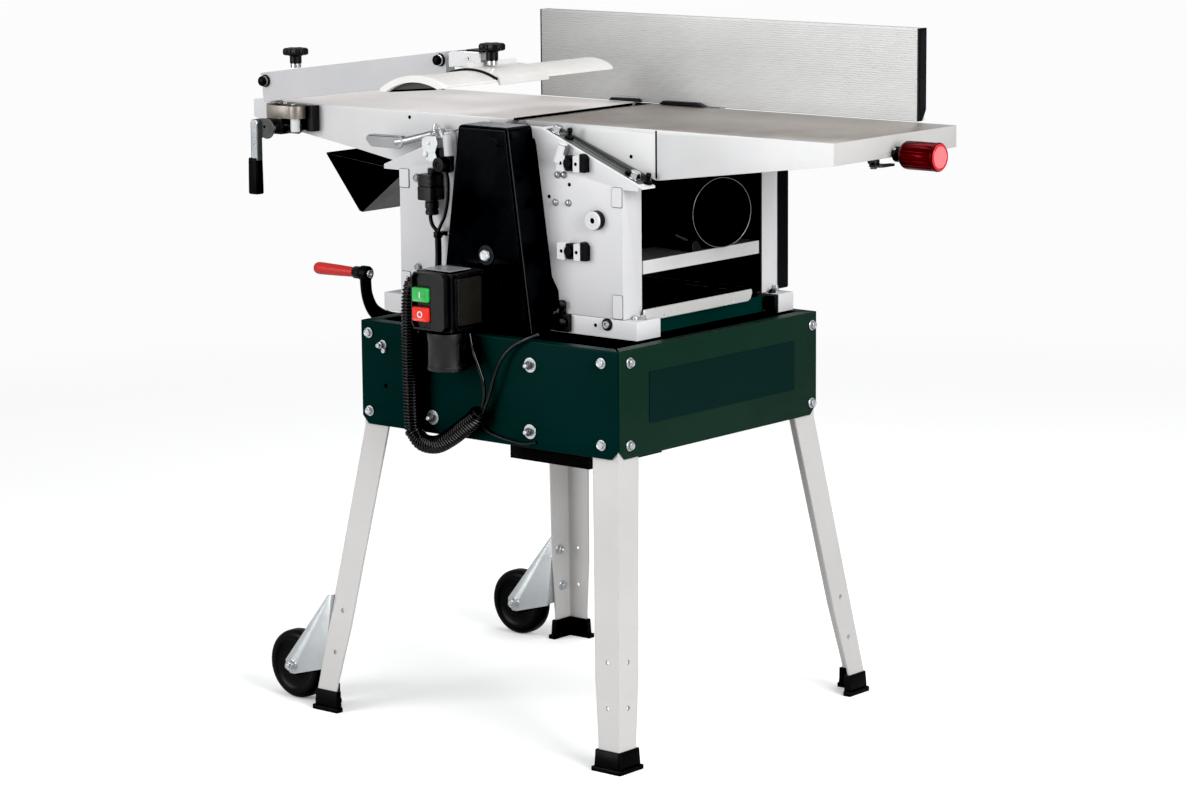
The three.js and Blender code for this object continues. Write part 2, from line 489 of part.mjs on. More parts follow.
// ------------------------------------------------------------ thicknessing bed
const bed = addGroup('bed_group');
{ // bed plate, hollowed from below either side of a rib
  const X0 = -229, X1 = 178, Z0 = 648.6, RIM = 6, TOP_T = 8;
  const hollow = xs => box(xs, inset([BED_Y0, BED_Y1], RIM), [Z0 - 5, BED_Z1 - TOP_T]);
  const plate = cut(box([X0, X1], [BED_Y0, BED_Y1], [Z0, BED_Z1]),
    hollow([X0 + RIM, -30]), hollow([-24, X1 - RIM]));
  part(bed, 'bed', plate, [0, 0, BED_Z1], FINISH.bed);
}
{ // lift screws with their nuts; the left nut also carries a bevel gear
  const BORE = 7.35, HUB = 11.8;
  const lowerProfile = {
    left: [[BORE, 551], [13, 551], [19, 557], [19, 560], [HUB, 561]],
    right: [[BORE, 560], [HUB, 560]],
  };
  const upperProfile = [[HUB, 569], [18, 569], [18, 574], [12, 575], [12, 584], [BORE, 584]];
  for (const [name, axis] of Object.entries(SCREWS)) {
    part(bed, `lift_screw_${name}`, cylinder('z', axis, 7, [455, BED_Z1 - 8.4], 18),
      [...axis, 455], FINISH.shaft);
    part(bed, `lift_nut_${name}`,
      turnedRing('z', axis, [...lowerProfile[name], ...upperProfile], 24),
      [...axis, 569], FINISH.nut);
  }
}
const GRIP_AXIS = [-151, 616];            // crank grip, y and z
{ // crank: shaft with a bevel pinion, swan-necked arm and the grip's pin
  const stations = [                      // y, z, half width of the arm
    [-62, 536, 13], [-78, 537, 12], [-100, 542, 11], [-122, 551, 10.5],
    [-138, 563, 10], [-148, 582, 9.5], [-151, 600, 9.5], [-151, 616, 10.5]];
  const edge = side => stations.map(([y, z, half], i) => {
    const [ya, za] = stations[Math.max(0, i - 1)];
    const [yb, zb] = stations[Math.min(stations.length - 1, i + 1)];
    const dy = yb - ya, dz = zb - za, length = Math.hypot(dy, dz);
    return [y - side * dz / length * half, z + side * dy / length * half];
  });
  const arm = join(prismYZ([...edge(1), ...edge(-1).reverse()], [-300, -287]),
    cylinder('x', CRANK_AXIS, 15, [-301, -274]),
    cylinder('x', GRIP_AXIS, 11, [-301, -286], 18),
    cylinder('x', CRANK_AXIS, 7, [-280, -196], 16),
    cylinder('x', CRANK_AXIS, 18, [-211, -206]),
    cylinder('x', CRANK_AXIS, 17.5, [-206.1, -200.5], 20, 12),
    cylinder('x', GRIP_AXIS, 4, [-390, -300], 12));
  part(bed, 'crank_arm', arm, [-290, ...CRANK_AXIS], FINISH.crank);
}
part(bed, 'crank_grip', turnedRing('x', GRIP_AXIS, [
  [4.3, -392], [7, -392], [8.6, -389], [8.8, -380], [8.2, -335], [7.6, -318],
  [8.4, -317], [8.4, -302], [4.3, -302]], 18), [-347, ...GRIP_AXIS], FINISH.red);

{ // chip hood: sheet scoop under the cutterblock, with a round extraction port
  const SHEET = 2, TOP_Z = 780.5, y0 = BED_Y0 - 1, y1 = BED_Y1 - 1;
  const PORT_R = 49.5, PORT_END = [185, 69, 717.6], PORT_TURN = degrees(18);
  const underside = [[-418, 777], [-353, 697], [-347, 695.5], [-274, 751], [-240, 748],
    [-206, BED_Z1 + 0.4], [100, BED_Z1 + 0.4], [100, TOP_Z]];
  const inside = [[98, TOP_Z], [98, BED_Z1 + 2.4], [-204.5, BED_Z1 + 2.4], [-238.5, 750.3],
    [-274, 753.4], [-349, 698.5], [-352.6, 700.3], [-416, 778.5]];
  const wing = [...underside, [-232, TOP_Z], [-273, 762]];
  const shell = join(prismXZ([...underside, ...inside], [y0, y1]),
    prismXZ(wing, [y0, y0 + SHEET]), prismXZ(wing, [y1 - SHEET, y1]));
  // laid along +X, then tipped down by the port's turn
  const tube = (radius, start, end) => {
    const geometry = new THREE.CylinderGeometry(radius, radius, end - start, 32);
    geometry.translate(0, (start + end) / 2, 0);
    geometry.rotateZ(-Math.PI / 2);
    geometry.rotateZ(-PORT_TURN);
    geometry.translate(...PORT_END);
    return solid(geometry);
  };
  part(bed, 'chip_hood', cut(join(shell, tube(PORT_R, -100, 0)), tube(PORT_R - SHEET, -130, 5)),
    [0, 0, BED_Z1], FINISH.plastic);
}

// ------------------------------------------------------------------- electrics
const electrics = addGroup('electrics');
{ // switch box: back, raised front with two button pockets, inlet socket below
  const FRONT_Y = -272, STEP_Y = -262, INLET_AXIS = [-43.5, -254];
  const back = [[-100, 577], [-94, 568], [-27, 568], [-27, 650], [-90, 652], [-100, 640]];
  const front = [[-93, 577], [-89, 570], [-36, 570], [-33, 574], [-33, 646], [-36, 650],
    [-87, 650], [-93, 643]];
  const pocketX = [-89.4, -59.4], buttonY = [-276.5, -266.5];
  const buttons = [                       // name, pocket heights, origin height, finish
    ['start_button', [608.6, 629.4], 619, FINISH.greenButton],
    ['stop_button', [581.6, 602.4], 592, FINISH.red]];
  const pockets = buttons.map(([, zs]) => box(pocketX, [FRONT_Y - 1, STEP_Y], zs));
  const inlet = cut(cylinder('z', INLET_AXIS, 27.5, [516, 569], 24),
    cylinder('z', INLET_AXIS, 22, [510, 545]));
  const body = join(prismXZ(back, [STEP_Y, COVER_Y - COVER_GAP]),
    prismXZ(front, [FRONT_Y, STEP_Y]));
  part(electrics, 'switch_box', join(cut(body, ...pockets), inlet), [-100, FRONT_Y, 568],
    FINISH.plastic);
  for (const [name, zs, originZ, finish] of buttons) {
    part(electrics, name, box(inset(pocketX, 0.5), buttonY, inset(zs, 0.5)),
      [-74.4, buttonY[0], originZ], finish);
  }
}
part(electrics, 'limit_switch', join(
  box([-172, -143], [-171, FPLATE_Y - COVER_GAP], [733, 770]),
  box([-166, -147], [-166, -148], [712, 733.5]),
  box([-165, -150], [-160, -146], [769, 778])), [-157, -171, 733], FINISH.plastic);
{ // conduit, hanging in a loop in front of the stand
  const RADIUS = 12.6, SIDES = 12, STEPS = 30, Y = -243.5;
  const route = [                         // x, z after the start
    [-120.5, 612], [-122.5, 560], [-122.5, 500], [-120.3, 430], [-114.5, 415], [-100.5, 405],
    [-76, 404.5], [-51, 416.5], [-27.5, 432], [-6.3, 447], [5.3, 459.7]];
  const points = [[-118, -236, 633], ...route.map(([x, z]) => [x, Y, z])];
  const extrudePath = new THREE.CatmullRomCurve3(
    points.map(p => new THREE.Vector3(...p)), false, 'centripetal');
  const section = Array.from({ length: SIDES }, (_, i) => {
    const angle = 2 * Math.PI * i / SIDES;
    return new THREE.Vector2(RADIUS * Math.cos(angle), RADIUS * Math.sin(angle));
  });
  const conduit = new THREE.ExtrudeGeometry(new THREE.Shape(section),
    { steps: STEPS, bevelEnabled: false, extrudePath });
  part(electrics, 'cable_conduit', solid(conduit), [-118, Y, 633], FINISH.conduit);
}

// ----------------------------------------------------------------------- fence
const fence = addGroup('fence_group');
{ // fence: extrusion with two long chambers and a notch over the cutterblock
  const WALL = 2.4, Z0 = 851, Z1 = 978.4;
  const xs = [-235.5, 444], ys = [173.6, 192.2];
  const chamber = zs => box(inset(xs, -1), inset(ys, WALL), zs);
  const profile = cut(box(xs, ys, [Z0, Z1]),
    chamber([Z0 + 12, Z0 + 60]), chamber([Z0 + 63, Z1 - WALL]),
    box([-103, 79.5], [ys[0] - 1, ys[0] + 6], [Z0 - 1, Z0 + 5.5]));
  part(fence, 'fence', profile, [xs[0], ys[0], Z0], FINISH.fence);
}
{ // carriage and the bracket that carries it behind the rear plate
  const xs = [-62, 22], END_Y = 288, plateY = RPLATE_Y + GAP;
  part(fence, 'fence_carriage', join(box(xs, [197, END_Y], [852, 858]),
    box(xs, [275, END_Y], [827.2, 853])), [-20, END_Y, 827], FINISH.fenceMount);
  part(fence, 'fence_bracket', join(box(xs, [plateY, END_Y], [818, 826.8]),
    box(xs, [plateY, 212], [818, 845]),
    prismYZ([[240, 818.5], [246, 802], [252, 802], [282, 818.5]], [-24, -16])),
  [-20, RPLATE_Y, 826], FINISH.fenceMount);
}

// ---------------------------------------------------------------- cutter guard
const guard = addGroup('guard_group');
const ARM_PITCH = degrees(7.56);
const ARM_START = [-497.4, 882];          // guard arm pivot, x and z
const ARM_END = [-151.7, 929.3];          // holder pivot at the arm's far end
const pivotBolt = axis => join(cylinder('y', axis, 4, [-146, -118], 14),
  cylinder('y', axis, 8, [-146, -141], 14));

{ // cast bracket on the front edge of the outfeed table, near its far end
  const tableSide = TABLE_Y0 - GAP, zs = [829.5, 847.8];
  const ear = [[-508, 840], [-487, 840], [-487, 886], [-491, 892], [-504, 892], [-508, 886]];
  const bracket = join(box([-490.5, -452], [-147, tableSide], zs),
    box([-509, -489], [-128, tableSide], zs), cylinder('z', [-443, -134], 12.6, zs, 24),
    box([-460, -443], [-146.4, -121.6], zs), box([-490, -462], [-146.9, -113], [806, 830]),
    box([-452, -434.5], [-125, tableSide], [812, 847.8]),
    prismXZ(ear, [-121.4, -116.8]), pivotBolt(ARM_START));
  part(guard, 'guard_bracket', bracket, [-482, -134, zs[0]], FINISH.casting);
}
{ // clamp lever: disc and stud, cranked neck and a hanging handle
  const AXIS = [-475.5, 815];
  const lever = join(cylinder('y', AXIS, 15, [-163, -159], 24),
    cylinder('y', AXIS, 4, [-160, -147.4], 12),
    box([-500.2, -476], [-164, -160], [800, 826]), box([-500.2, -487], [-170, -160], [768, 827]),
    box([-488, -478], [-163.9, -160.1], [805, 824]),
    box([-507, -488], [-173, -157], [718, 771.5]));
  part(guard, 'guard_clamp_lever', lever, [AXIS[0], -160, AXIS[1]], FINISH.brightZinc);
}
{ // arm: channel bar, open below, with a pivot hole at each end
  const outer = [[-9, -30.5], [350, -30.5], [358, -14], [358, 12.5], [-9, 12.5]];
  const inner = [[10, -45], [343, -45], [343, 9.5], [10, 9.5]];
  const bar = (outline, ys) => prismXZ(placedXZ(outline, ...ARM_START, ARM_PITCH), ys);
  const hole = axis => cylinder('y', axis, 4.4, [-142, -120], 14);
  part(guard, 'guard_arm',
    cut(bar(outer, [-140, -122]), bar(inner, [-137, -125]), hole(ARM_START), hole(ARM_END)),
    [ARM_START[0], -131, ARM_START[1]], FINISH.guardArm);
}

// five-lobed knob on a stem
function starKnob(x, y, gripZ, stemZ) {
  const MEAN_R = 15.4, LOBE = 3.2, STEM_R = 8.6, POINTS = 40, HEIGHT = 10.5;
  const outline = Array.from({ length: POINTS }, (_, i) => {
    const angle = 2 * Math.PI * i / POINTS;
    const r = MEAN_R + LOBE * Math.cos(5 * angle);
    return [x + r * Math.cos(angle), y + r * Math.sin(angle)];
  });
  return join(prismXY(outline, [gripZ, gripZ + HEIGHT]),
    cylinder('z', [x, y], STEM_R, [stemZ, gripZ + 0.1], 16));
}
part(guard, 'guard_height_knob', starKnob(-444, -131, 921.5, 903.6), [-444, -131, 903],
  FINISH.blackKnob);

// Blade and slider follow one arch over the cutterblock, with a drop on both long edges.
const BLADE_X = -72.5, BLADE_Z = 905.3, BLADE_PITCH = degrees(4.9);
const BLADE_Y = [-283, 86], SLIDER_Y = [-176, -72];
const onBlade = outline => placedXZ(outline, BLADE_X, BLADE_Z, BLADE_PITCH);
function arch(offset) {
  const HALF = 57.5, SAG = 15.5, STEPS = 12;
  const radius = (HALF * HALF + SAG * SAG) / (2 * SAG), spread = Math.asin(HALF / radius);
  return Array.from({ length: STEPS + 1 }, (_, i) => {
    const angle = -spread + 2 * spread * i / STEPS, r = radius + offset;
    return [r * Math.sin(angle), r * Math.cos(angle) - radius + SAG];
  });
}
part(guard, 'guard_blade', prismXZ(onBlade([
  ...arch(0), [57.5, -2.4], [54.8, -2.4], ...arch(-2.6).reverse(), [-54.8, -2.4], [-57.5, -2.4],
]), BLADE_Y), [BLADE_X, BLADE_Y[0], BLADE_Z], FINISH.blade);
{ // holder block, cut to sit just over the slider
  const holder = join(box([-158, -120], [-121.4, -117.4], [921, 937]), pivotBolt(ARM_END),
    box([-121, -74], [-147, -117.4], [921.5, 944]));
  const recess = box([-118, -77], [-144, -120], [941.5, 950]);
  const sliderRoom = prismXZ(onBlade([...arch(4.1), [70, -20], [-70, -20]]), [-180, -70]);
  part(guard, 'guard_holder', cut(holder, recess, sliderRoom), [ARM_END[0], -130, ARM_END[1]],
    FINISH.zinc);
}
part(guard, 'guard_slider', prismXZ(onBlade([
  ...arch(3.6), [63, 1], [63, -6], [59, -6], ...arch(0.7).reverse(),
  [-59, -6], [-63, -6], [-63, 1]]), SLIDER_Y), [BLADE_X, SLIDER_Y[0], BLADE_Z], FINISH.slider);
part(guard, 'guard_slide_knob', starKnob(-56, -139, 947, 926.4), [-56, -139, 927],
  FINISH.blackKnob);

export default machine;
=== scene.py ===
# Combined planer and thicknesser on a wheeled sheet-metal stand.
#
# +Z is up and the floor is z = 0. The front, with the switch and the belt cover, faces -Y.
# The infeed table and the red depth knob are on the right (+X); the outfeed table, the crank
# and the wheels are on the left (-X). The CAD frame supplies the plain sheet and castings;
# the detailed pieces below are drawn in millimetres from the stand's centre.
import bpy
import math
import numpy as np
from mathutils import Matrix, Vector

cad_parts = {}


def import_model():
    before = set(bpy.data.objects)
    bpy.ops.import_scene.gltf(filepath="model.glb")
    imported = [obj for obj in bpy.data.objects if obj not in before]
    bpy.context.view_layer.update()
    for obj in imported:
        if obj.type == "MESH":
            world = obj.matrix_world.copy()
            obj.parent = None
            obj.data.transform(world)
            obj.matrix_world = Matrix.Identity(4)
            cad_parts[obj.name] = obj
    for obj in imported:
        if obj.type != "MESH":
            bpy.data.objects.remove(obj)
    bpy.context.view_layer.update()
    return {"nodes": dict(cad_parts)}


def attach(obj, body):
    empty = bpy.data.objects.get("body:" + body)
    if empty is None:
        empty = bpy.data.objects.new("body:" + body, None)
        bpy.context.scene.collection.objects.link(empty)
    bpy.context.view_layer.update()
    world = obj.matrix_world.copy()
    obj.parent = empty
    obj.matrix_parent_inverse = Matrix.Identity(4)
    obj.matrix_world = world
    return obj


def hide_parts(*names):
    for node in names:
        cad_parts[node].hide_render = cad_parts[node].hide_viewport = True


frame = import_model()
NODES = frame["nodes"]
MM = 0.001
RAD = math.pi / 180

STAND_X = -13.75                # the stand's centre in the frame, mm
PLATE_Y = -141.7 - 0.05         # face of the front plate
PANEL_Y = -224.5 - 0.02         # face of the stand's front panel
SIDE_X = 235.5 + 0.02           # face of the stand's right panel
SLOPE = 21.68 * RAD             # fall of the inclined flanges away from the cutterblock
FLANGE_TOP = 846.3              # height at which both slopes start

UP, DOWN = (0, 0, 1), (0, 0, -1)
RIGHT, LEFT = (1, 0, 0), (-1, 0, 0)
FORWARD, BACK = (0, -1, 0), (0, 1, 0)


# ============================================================ shader building
class Shader:
    """Builds one procedural material. Textures use the object's own coordinates, in metres."""

    def __init__(self, name):
        self.material = bpy.data.materials.new(name)
        self.material.use_nodes = True
        self.tree = self.material.node_tree
        self.tree.nodes.clear()
        output = self.node("ShaderNodeOutputMaterial")
        self.surface = self.node("ShaderNodeBsdfPrincipled")
        self.link(self.surface.outputs[0], output.inputs[0])
        self.place = self.node("ShaderNodeTexCoord").outputs["Object"]
        self.normal = None

    def node(self, kind, **properties):
        made = self.tree.nodes.new(kind)
        for key, value in properties.items():
            setattr(made, key, value)
        return made

    def link(self, source, target):
        self.tree.links.new(source, target)

    def feed(self, socket, value):
        """Links a socket, or sets a plain value."""
        if isinstance(value, bpy.types.NodeSocket):
            self.link(value, socket)
        else:
            socket.default_value = value

    def set(self, key, value):
        self.feed(self.surface.inputs[key], value)

    def stretched(self, scale):
        made = self.node("ShaderNodeMapping")
        made.inputs["Scale"].default_value = scale
        self.link(self.place, made.inputs["Vector"])
        return made.outputs[0]

    def noise(self, scale, detail=2.0, rough=0.5, vector=None):
        made = self.node("ShaderNodeTexNoise")
        made.inputs["Scale"].default_value = scale
        made.inputs["Detail"].default_value = detail
        made.inputs["Roughness"].default_value = rough
        self.link(self.place if vector is None else vector, made.inputs["Vector"])
        return made.outputs[0]

    def cell_color(self, scale):
        made = self.node("ShaderNodeTexVoronoi")
        made.inputs["Scale"].default_value = scale
        self.link(self.place, made.inputs["Vector"])
        return made.outputs["Color"]

    def remap(self, value, span, to=(0.0, 1.0)):
        made = self.node("ShaderNodeMapRange")
        for index, number in enumerate((*span, *to), 1):
            made.inputs[index].default_value = number
        self.link(value, made.inputs[0])
        return made.outputs[0]

    def patches(self, scale, detail=2.0, rough=0.5, span=(0.3, 0.7), to=(0.0, 1.0)):
        """Noise stretched from its useful span to the wanted range."""
        return self.remap(self.noise(scale, detail, rough), span, to)

    def math(self, operation, *values):
        made = self.node("ShaderNodeMath", operation=operation)
        for socket, value in zip(made.inputs, values):
            self.feed(socket, value)
        return made.outputs[0]

    def mix(self, factor, first, second):
        made = self.node("ShaderNodeMix", data_type="RGBA")
        self.link(factor, made.inputs[0])
        for index, value in ((6, first), (7, second)):
            if not isinstance(value, bpy.types.NodeSocket):
                value = (*value, 1.0)
            self.feed(made.inputs[index], value)
        return made.outputs[2]

    def mix_value(self, factor, first, second):
        made = self.node("ShaderNodeMix", data_type="FLOAT")
        for index, value in ((0, factor), (2, first), (3, second)):
            self.link(value, made.inputs[index])
        return made.outputs[0]

    def xyz(self, vector):
        made = self.node("ShaderNodeSeparateXYZ")
        self.link(vector, made.inputs[0])
        return made.outputs

    def geometry(self, name):
        return self.node("ShaderNodeNewGeometry").outputs[name]

    def rounded_normal(self, radius_mm, samples):
        made = self.node("ShaderNodeBevel")
        made.samples = samples
        made.inputs["Radius"].default_value = radius_mm * MM
        return made.outputs[0]

    def edge(self, radius_mm):
        """1 on sharp edges and 0 on flats: the rounded normal against the shading normal."""
        dot = self.node("ShaderNodeVectorMath", operation="DOT_PRODUCT")
        self.link(self.rounded_normal(radius_mm, samples=4), dot.inputs[0])
        self.link(self.geometry("Normal"), dot.inputs[1])
        return self.remap(dot.outputs["Value"], span=(0.995, 0.80))

    def bump(self, height, strength, depth_mm):
        made = self.node("ShaderNodeBump")
        made.inputs["Strength"].default_value = strength
        made.inputs["Distance"].default_value = depth_mm * MM
        self.link(height, made.inputs["Height"])
        if self.normal is not None:
            self.link(self.normal, made.inputs["Normal"])
        self.normal = made.outputs[0]
        self.link(self.normal, self.surface.inputs["Normal"])


# Shared by the finishes below:
#   rough, rough_var    middle and half-spread of the roughness
#   spec                specular level
#   var, grime          how far the colour drifts
#   wear                rubbed edges: colour and amount on paint, amount on metal
def painted(name, color, rough=0.42, spec=0.05, peel=620, peel_strength=0.16, var=0.12,
            metallic=0.0, wear=None, rough_var=0.07, shade=0.12, fold=0.0, painted_shade_side=0,
            painted_shade_left_of=None):
    """Sprayed or powder-coated sheet with orange peel.

    shade: darkening by fine grain. fold: shading radius of folds, mm. painted_shade_side: +1
    paints shade on faces towards +Y, -1 towards -Y. painted_shade_left_of: x, in metres, left
    of which upward and -Y faces are painted dark as shade.
    """
    s = Shader(name)
    color = np.array(color)
    coat = s.mix(s.patches(scale=5.5, detail=3.0, rough=0.55),
                 color * (1 - var), np.minimum(color * (1 + var), 1))
    grain = s.patches(scale=1900, detail=1.0, span=(0.35, 0.65), to=(0.0, shade))
    coat = s.mix(grain, coat, color * 0.55)
    if wear is not None:
        broken = s.patches(scale=160, detail=4.0, rough=0.6, span=(0.42, 0.62), to=(0.15, 1.0))
        rubbed = s.math("MULTIPLY", s.edge(1.0), broken)
        coat = s.mix(s.math("MULTIPLY", rubbed, wear[3]), coat, wear[:3])
    # painted shade: faces turned the given way along Y go near-black
    if painted_shade_side:
        facing = s.math("MULTIPLY", s.xyz(s.geometry("True Normal"))[1], painted_shade_side)
        inward_shade = s.remap(facing, span=(0.5, 0.9), to=(0.0, 0.93))
        coat = s.mix(inward_shade, coat, (0.004, 0.004, 0.004))
    # painted shade: upward and -Y faces left of the given x go near-black
    if painted_shade_left_of is not None:
        x = s.xyz(s.place)[0]
        normal = s.xyz(s.geometry("True Normal"))
        inside = s.remap(x, span=(painted_shade_left_of - 0.002, painted_shade_left_of), to=(1.0, 0.0))
        face = s.math("MAXIMUM", s.remap(normal[2], span=(0.5, 0.9)),
                      s.remap(normal[1], span=(-0.9, -0.5), to=(1.0, 0.0)))
        coat = s.mix(s.math("MULTIPLY", inside, face), coat, (0.0022, 0.0022, 0.0022))
    s.set("Base Color", coat)
    s.set("Metallic", metallic)
    s.set("Specular IOR Level", spec)
    if fold:
        s.normal = s.rounded_normal(fold, samples=6)
    s.set("Roughness", s.patches(scale=14, detail=4.0, rough=0.65, span=(0.3, 0.75),
                                 to=(rough - rough_var, rough + rough_var)))
    if peel_strength:
        s.bump(s.noise(peel), peel_strength, depth_mm=0.12)
        s.bump(s.noise(45), strength=0.05, depth_mm=0.4)
    return s.material


def metal(name, color, rough=0.3, brush=None, brush_scale=(1, 1, 1), brush_amount=0.5,
          spangle=None, flake=0.0, tint=None, rough_var=0.08, metallic=1.0, peel=None,
          grime=0.15, wear=0.0, painted_shade_x=None, painted_shade_below=None):
    """Bare or plated metal.

    brush, brush_scale, brush_amount: streaks. spangle, flake: plating cells and their
    darkening. tint: RGB and amount of stains. peel: scale, strength and depth of surface
    bumps. painted_shade_x: (x start, x end, darkening at the start), a painted shade along x.
    painted_shade_below: z, in metres, below which (and on upward faces) the colour is painted
    near-black and non-metallic as shade.
    """
    s = Shader(name)
    color = np.array(color)
    finish = s.mix(s.patches(scale=18, detail=4.0, rough=0.6),
                   color * (1 - grime), np.minimum(color * 1.04, 1))
    # painted shade: darker towards the start of an x span
    if painted_shade_x is not None:
        fade = s.remap(s.xyz(s.place)[0], span=painted_shade_x[:2], to=(painted_shade_x[2], 0.0))
        finish = s.mix(fade, finish, color * 0.30)
    if tint is not None:
        stain = s.patches(scale=26, detail=5.0, rough=0.6, span=(0.42, 0.72),
                          to=(0.0, tint[3]))
        finish = s.mix(stain, finish, tint[:3])
    if spangle is not None:
        cells = s.xyz(s.cell_color(spangle))[0]
        finish = s.mix(s.remap(cells, span=(0, 1), to=(0.0, flake)), finish, color * 0.6)
    dullness = s.patches(scale=30, detail=4.0, rough=0.6, span=(0.3, 0.75),
                         to=(rough - rough_var, rough + rough_var))
    if brush is not None:
        streaks = s.noise(brush, detail=3.0, rough=0.7, vector=s.stretched(brush_scale))
        dark = s.remap(streaks, span=(0.35, 0.65), to=(0.0, 0.25 * brush_amount))
        finish = s.mix(dark, finish, color * 0.62)
        uneven = s.remap(streaks, span=(0.3, 0.7),
                         to=(-0.07 * brush_amount, 0.10 * brush_amount))
        dullness = s.math("ADD", dullness, uneven)
        s.bump(streaks, strength=0.10 * brush_amount, depth_mm=0.06)
    if peel is not None:
        s.bump(s.noise(peel[0], detail=3.0, rough=0.6), strength=peel[1], depth_mm=peel[2])
    if wear:
        edge = s.edge(0.8)
        finish = s.mix(s.math("MULTIPLY", edge, wear), finish, np.minimum(color * 1.25, 1))
        dullness = s.math("SUBTRACT", dullness, s.math("MULTIPLY", edge, 0.10))
    # painted shade: near-black and non-metallic below a height and on upward faces
    if painted_shade_below is not None:
        z = s.xyz(s.place)[2]
        upward = s.xyz(s.geometry("True Normal"))[2]
        shade_mask = s.math("MAXIMUM",
                      s.remap(z, span=(painted_shade_below - 0.0004, painted_shade_below), to=(1.0, 0.0)),
                      s.remap(upward, span=(0.6, 0.9), to=(0.0, 0.92)))
        finish = s.mix(shade_mask, finish, (0.004, 0.004, 0.004))
        metallic = s.remap(shade_mask, span=(0.0, 1.0), to=(metallic, 0.0))
    s.set("Base Color", finish)
    s.set("Metallic", metallic)
    s.set("Roughness", dullness)
    return s.material


def plastic(name, color, rough=0.38, spec=0.4, grain=(900, 0.12, 0.1), var=0.08, coat=0.0,
            dust=0.0, rough_var=0.06):
    """Moulded plastic or rubber.

    grain: scale, strength and depth of the mould grain. coat: clear coat. dust: amount on
    upward faces.
    """
    s = Shader(name)
    color = np.array(color)
    skin_color = s.mix(s.patches(scale=22, detail=3.0, rough=0.55),
                       color * (1 - var), np.minimum(color * (1 + var) + 0.001, 1))
    if dust:
        upward = s.remap(s.xyz(s.geometry("Normal"))[2], span=(0.3, 1.0))
        broken = s.patches(scale=90, detail=4.0, rough=0.7, span=(0.4, 0.7), to=(0.2, 1.0))
        settled = s.math("MULTIPLY", upward, broken)
        skin_color = s.mix(s.math("MULTIPLY", settled, dust), skin_color, (0.30, 0.29, 0.27))
    s.set("Base Color", skin_color)
    s.set("Specular IOR Level", spec)
    s.set("Roughness", s.patches(scale=35, detail=4.0, rough=0.6, span=(0.3, 0.75),
                                 to=(rough - rough_var, rough + rough_var)))
    if coat:
        s.set("Coat Weight", coat)
        s.set("Coat Roughness", 0.08)
    if grain:
        s.bump(s.noise(grain[0]), strength=grain[1], depth_mm=grain[2])
    return s.material


def table_casting(name, dark, light, streak, paint_dark, paint_light, metallic):
    """Milled aluminium on the table's top face, satin paint on the skirts and below."""
    s = Shader(name)
    z = s.xyz(s.place)[2]
    upward = s.xyz(s.geometry("Normal"))[2]
    top = s.math("MULTIPLY", s.remap(upward, span=(0.90, 0.98)),
                 s.remap(z, span=(0.8478, 0.8490)))
    # milling lines along X over slow blotches
    lines = s.noise(3.2, rough=0.6, vector=s.stretched((3.0, 420.0, 3.0)))
    fine = s.noise(1.0, detail=1.0, vector=s.stretched((60.0, 900.0, 60.0)))
    blotches = s.noise(9.0, detail=4.0, rough=0.6)
    milled = s.mix(s.remap(blotches, span=(0.35, 0.70)), dark, light)
    milled = s.mix(s.remap(lines, span=(0.3, 0.7), to=(0.0, 0.35)), milled, streak)
    milled = s.mix(s.remap(fine, span=(0.3, 0.7), to=(0.0, 0.18)), milled, (0.80, 0.79, 0.78))
    paint = s.mix(s.patches(scale=7, detail=3.0, rough=0.55), paint_dark, paint_light)
    grain = s.patches(scale=1700, detail=1.0, span=(0.4, 0.65), to=(0.0, 0.12))
    paint = s.mix(grain, paint, (0.40, 0.40, 0.40))
    # painted shade: faces towards +X go darker and browner
    right_face_shade = s.remap(s.xyz(s.geometry("True Normal"))[0], span=(0.6, 0.9), to=(0.0, 0.62))
    paint = s.mix(right_face_shade, paint, (0.34, 0.325, 0.31))
    s.set("Base Color", s.mix(top, paint, milled))
    s.set("Metallic", s.remap(top, span=(0, 1), to=(0.05, metallic)))
    top_rough = s.math("ADD", s.remap(blotches, span=(0.3, 0.7), to=(0.34, 0.46)),
                       s.remap(lines, span=(0.3, 0.7), to=(-0.05, 0.06)))
    paint_rough = s.patches(scale=16, detail=4.0, rough=0.6, to=(0.38, 0.50))
    s.set("Roughness", s.mix_value(top, paint_rough, top_rough))
    s.bump(s.mix_value(top, s.noise(800), lines), strength=0.14, depth_mm=0.12)
    return s.material


# ============================================================ finishes
# Each: material name, linear RGB colour, then the settings described above.
GREEN_COAT = dict(wear=(0.05, 0.10, 0.085, 0.5), shade=0.25)
SILVER_COAT = dict(color=(0.60, 0.60, 0.61), rough=0.44, spec=0.22, peel=520,
                   peel_strength=0.14, var=0.05, metallic=0.06, shade=0.14,
                   wear=(0.78, 0.78, 0.78, 0.5))
GREEN = painted("green_powder_coat", (0.0004, 0.0132, 0.0118), **GREEN_COAT)
# The side panels get a lighter copy of the green: painted light on the lit side.
GREEN_LIT_SIDE = painted("green_powder_coat_lit_side", (0.0058, 0.0215, 0.0135), spec=0.07,
                     **GREEN_COAT)
# A lighter green than the panels, a painted lit tone, with painted shade on upward and -Y faces
# left of x = 0.146 m, under the bed.
PAN = painted("pan_green", (0.0014, 0.0240, 0.0205), painted_shade_left_of=0.146, **GREEN_COAT)
SILVER = painted("silver_hammer_paint", **SILVER_COAT)
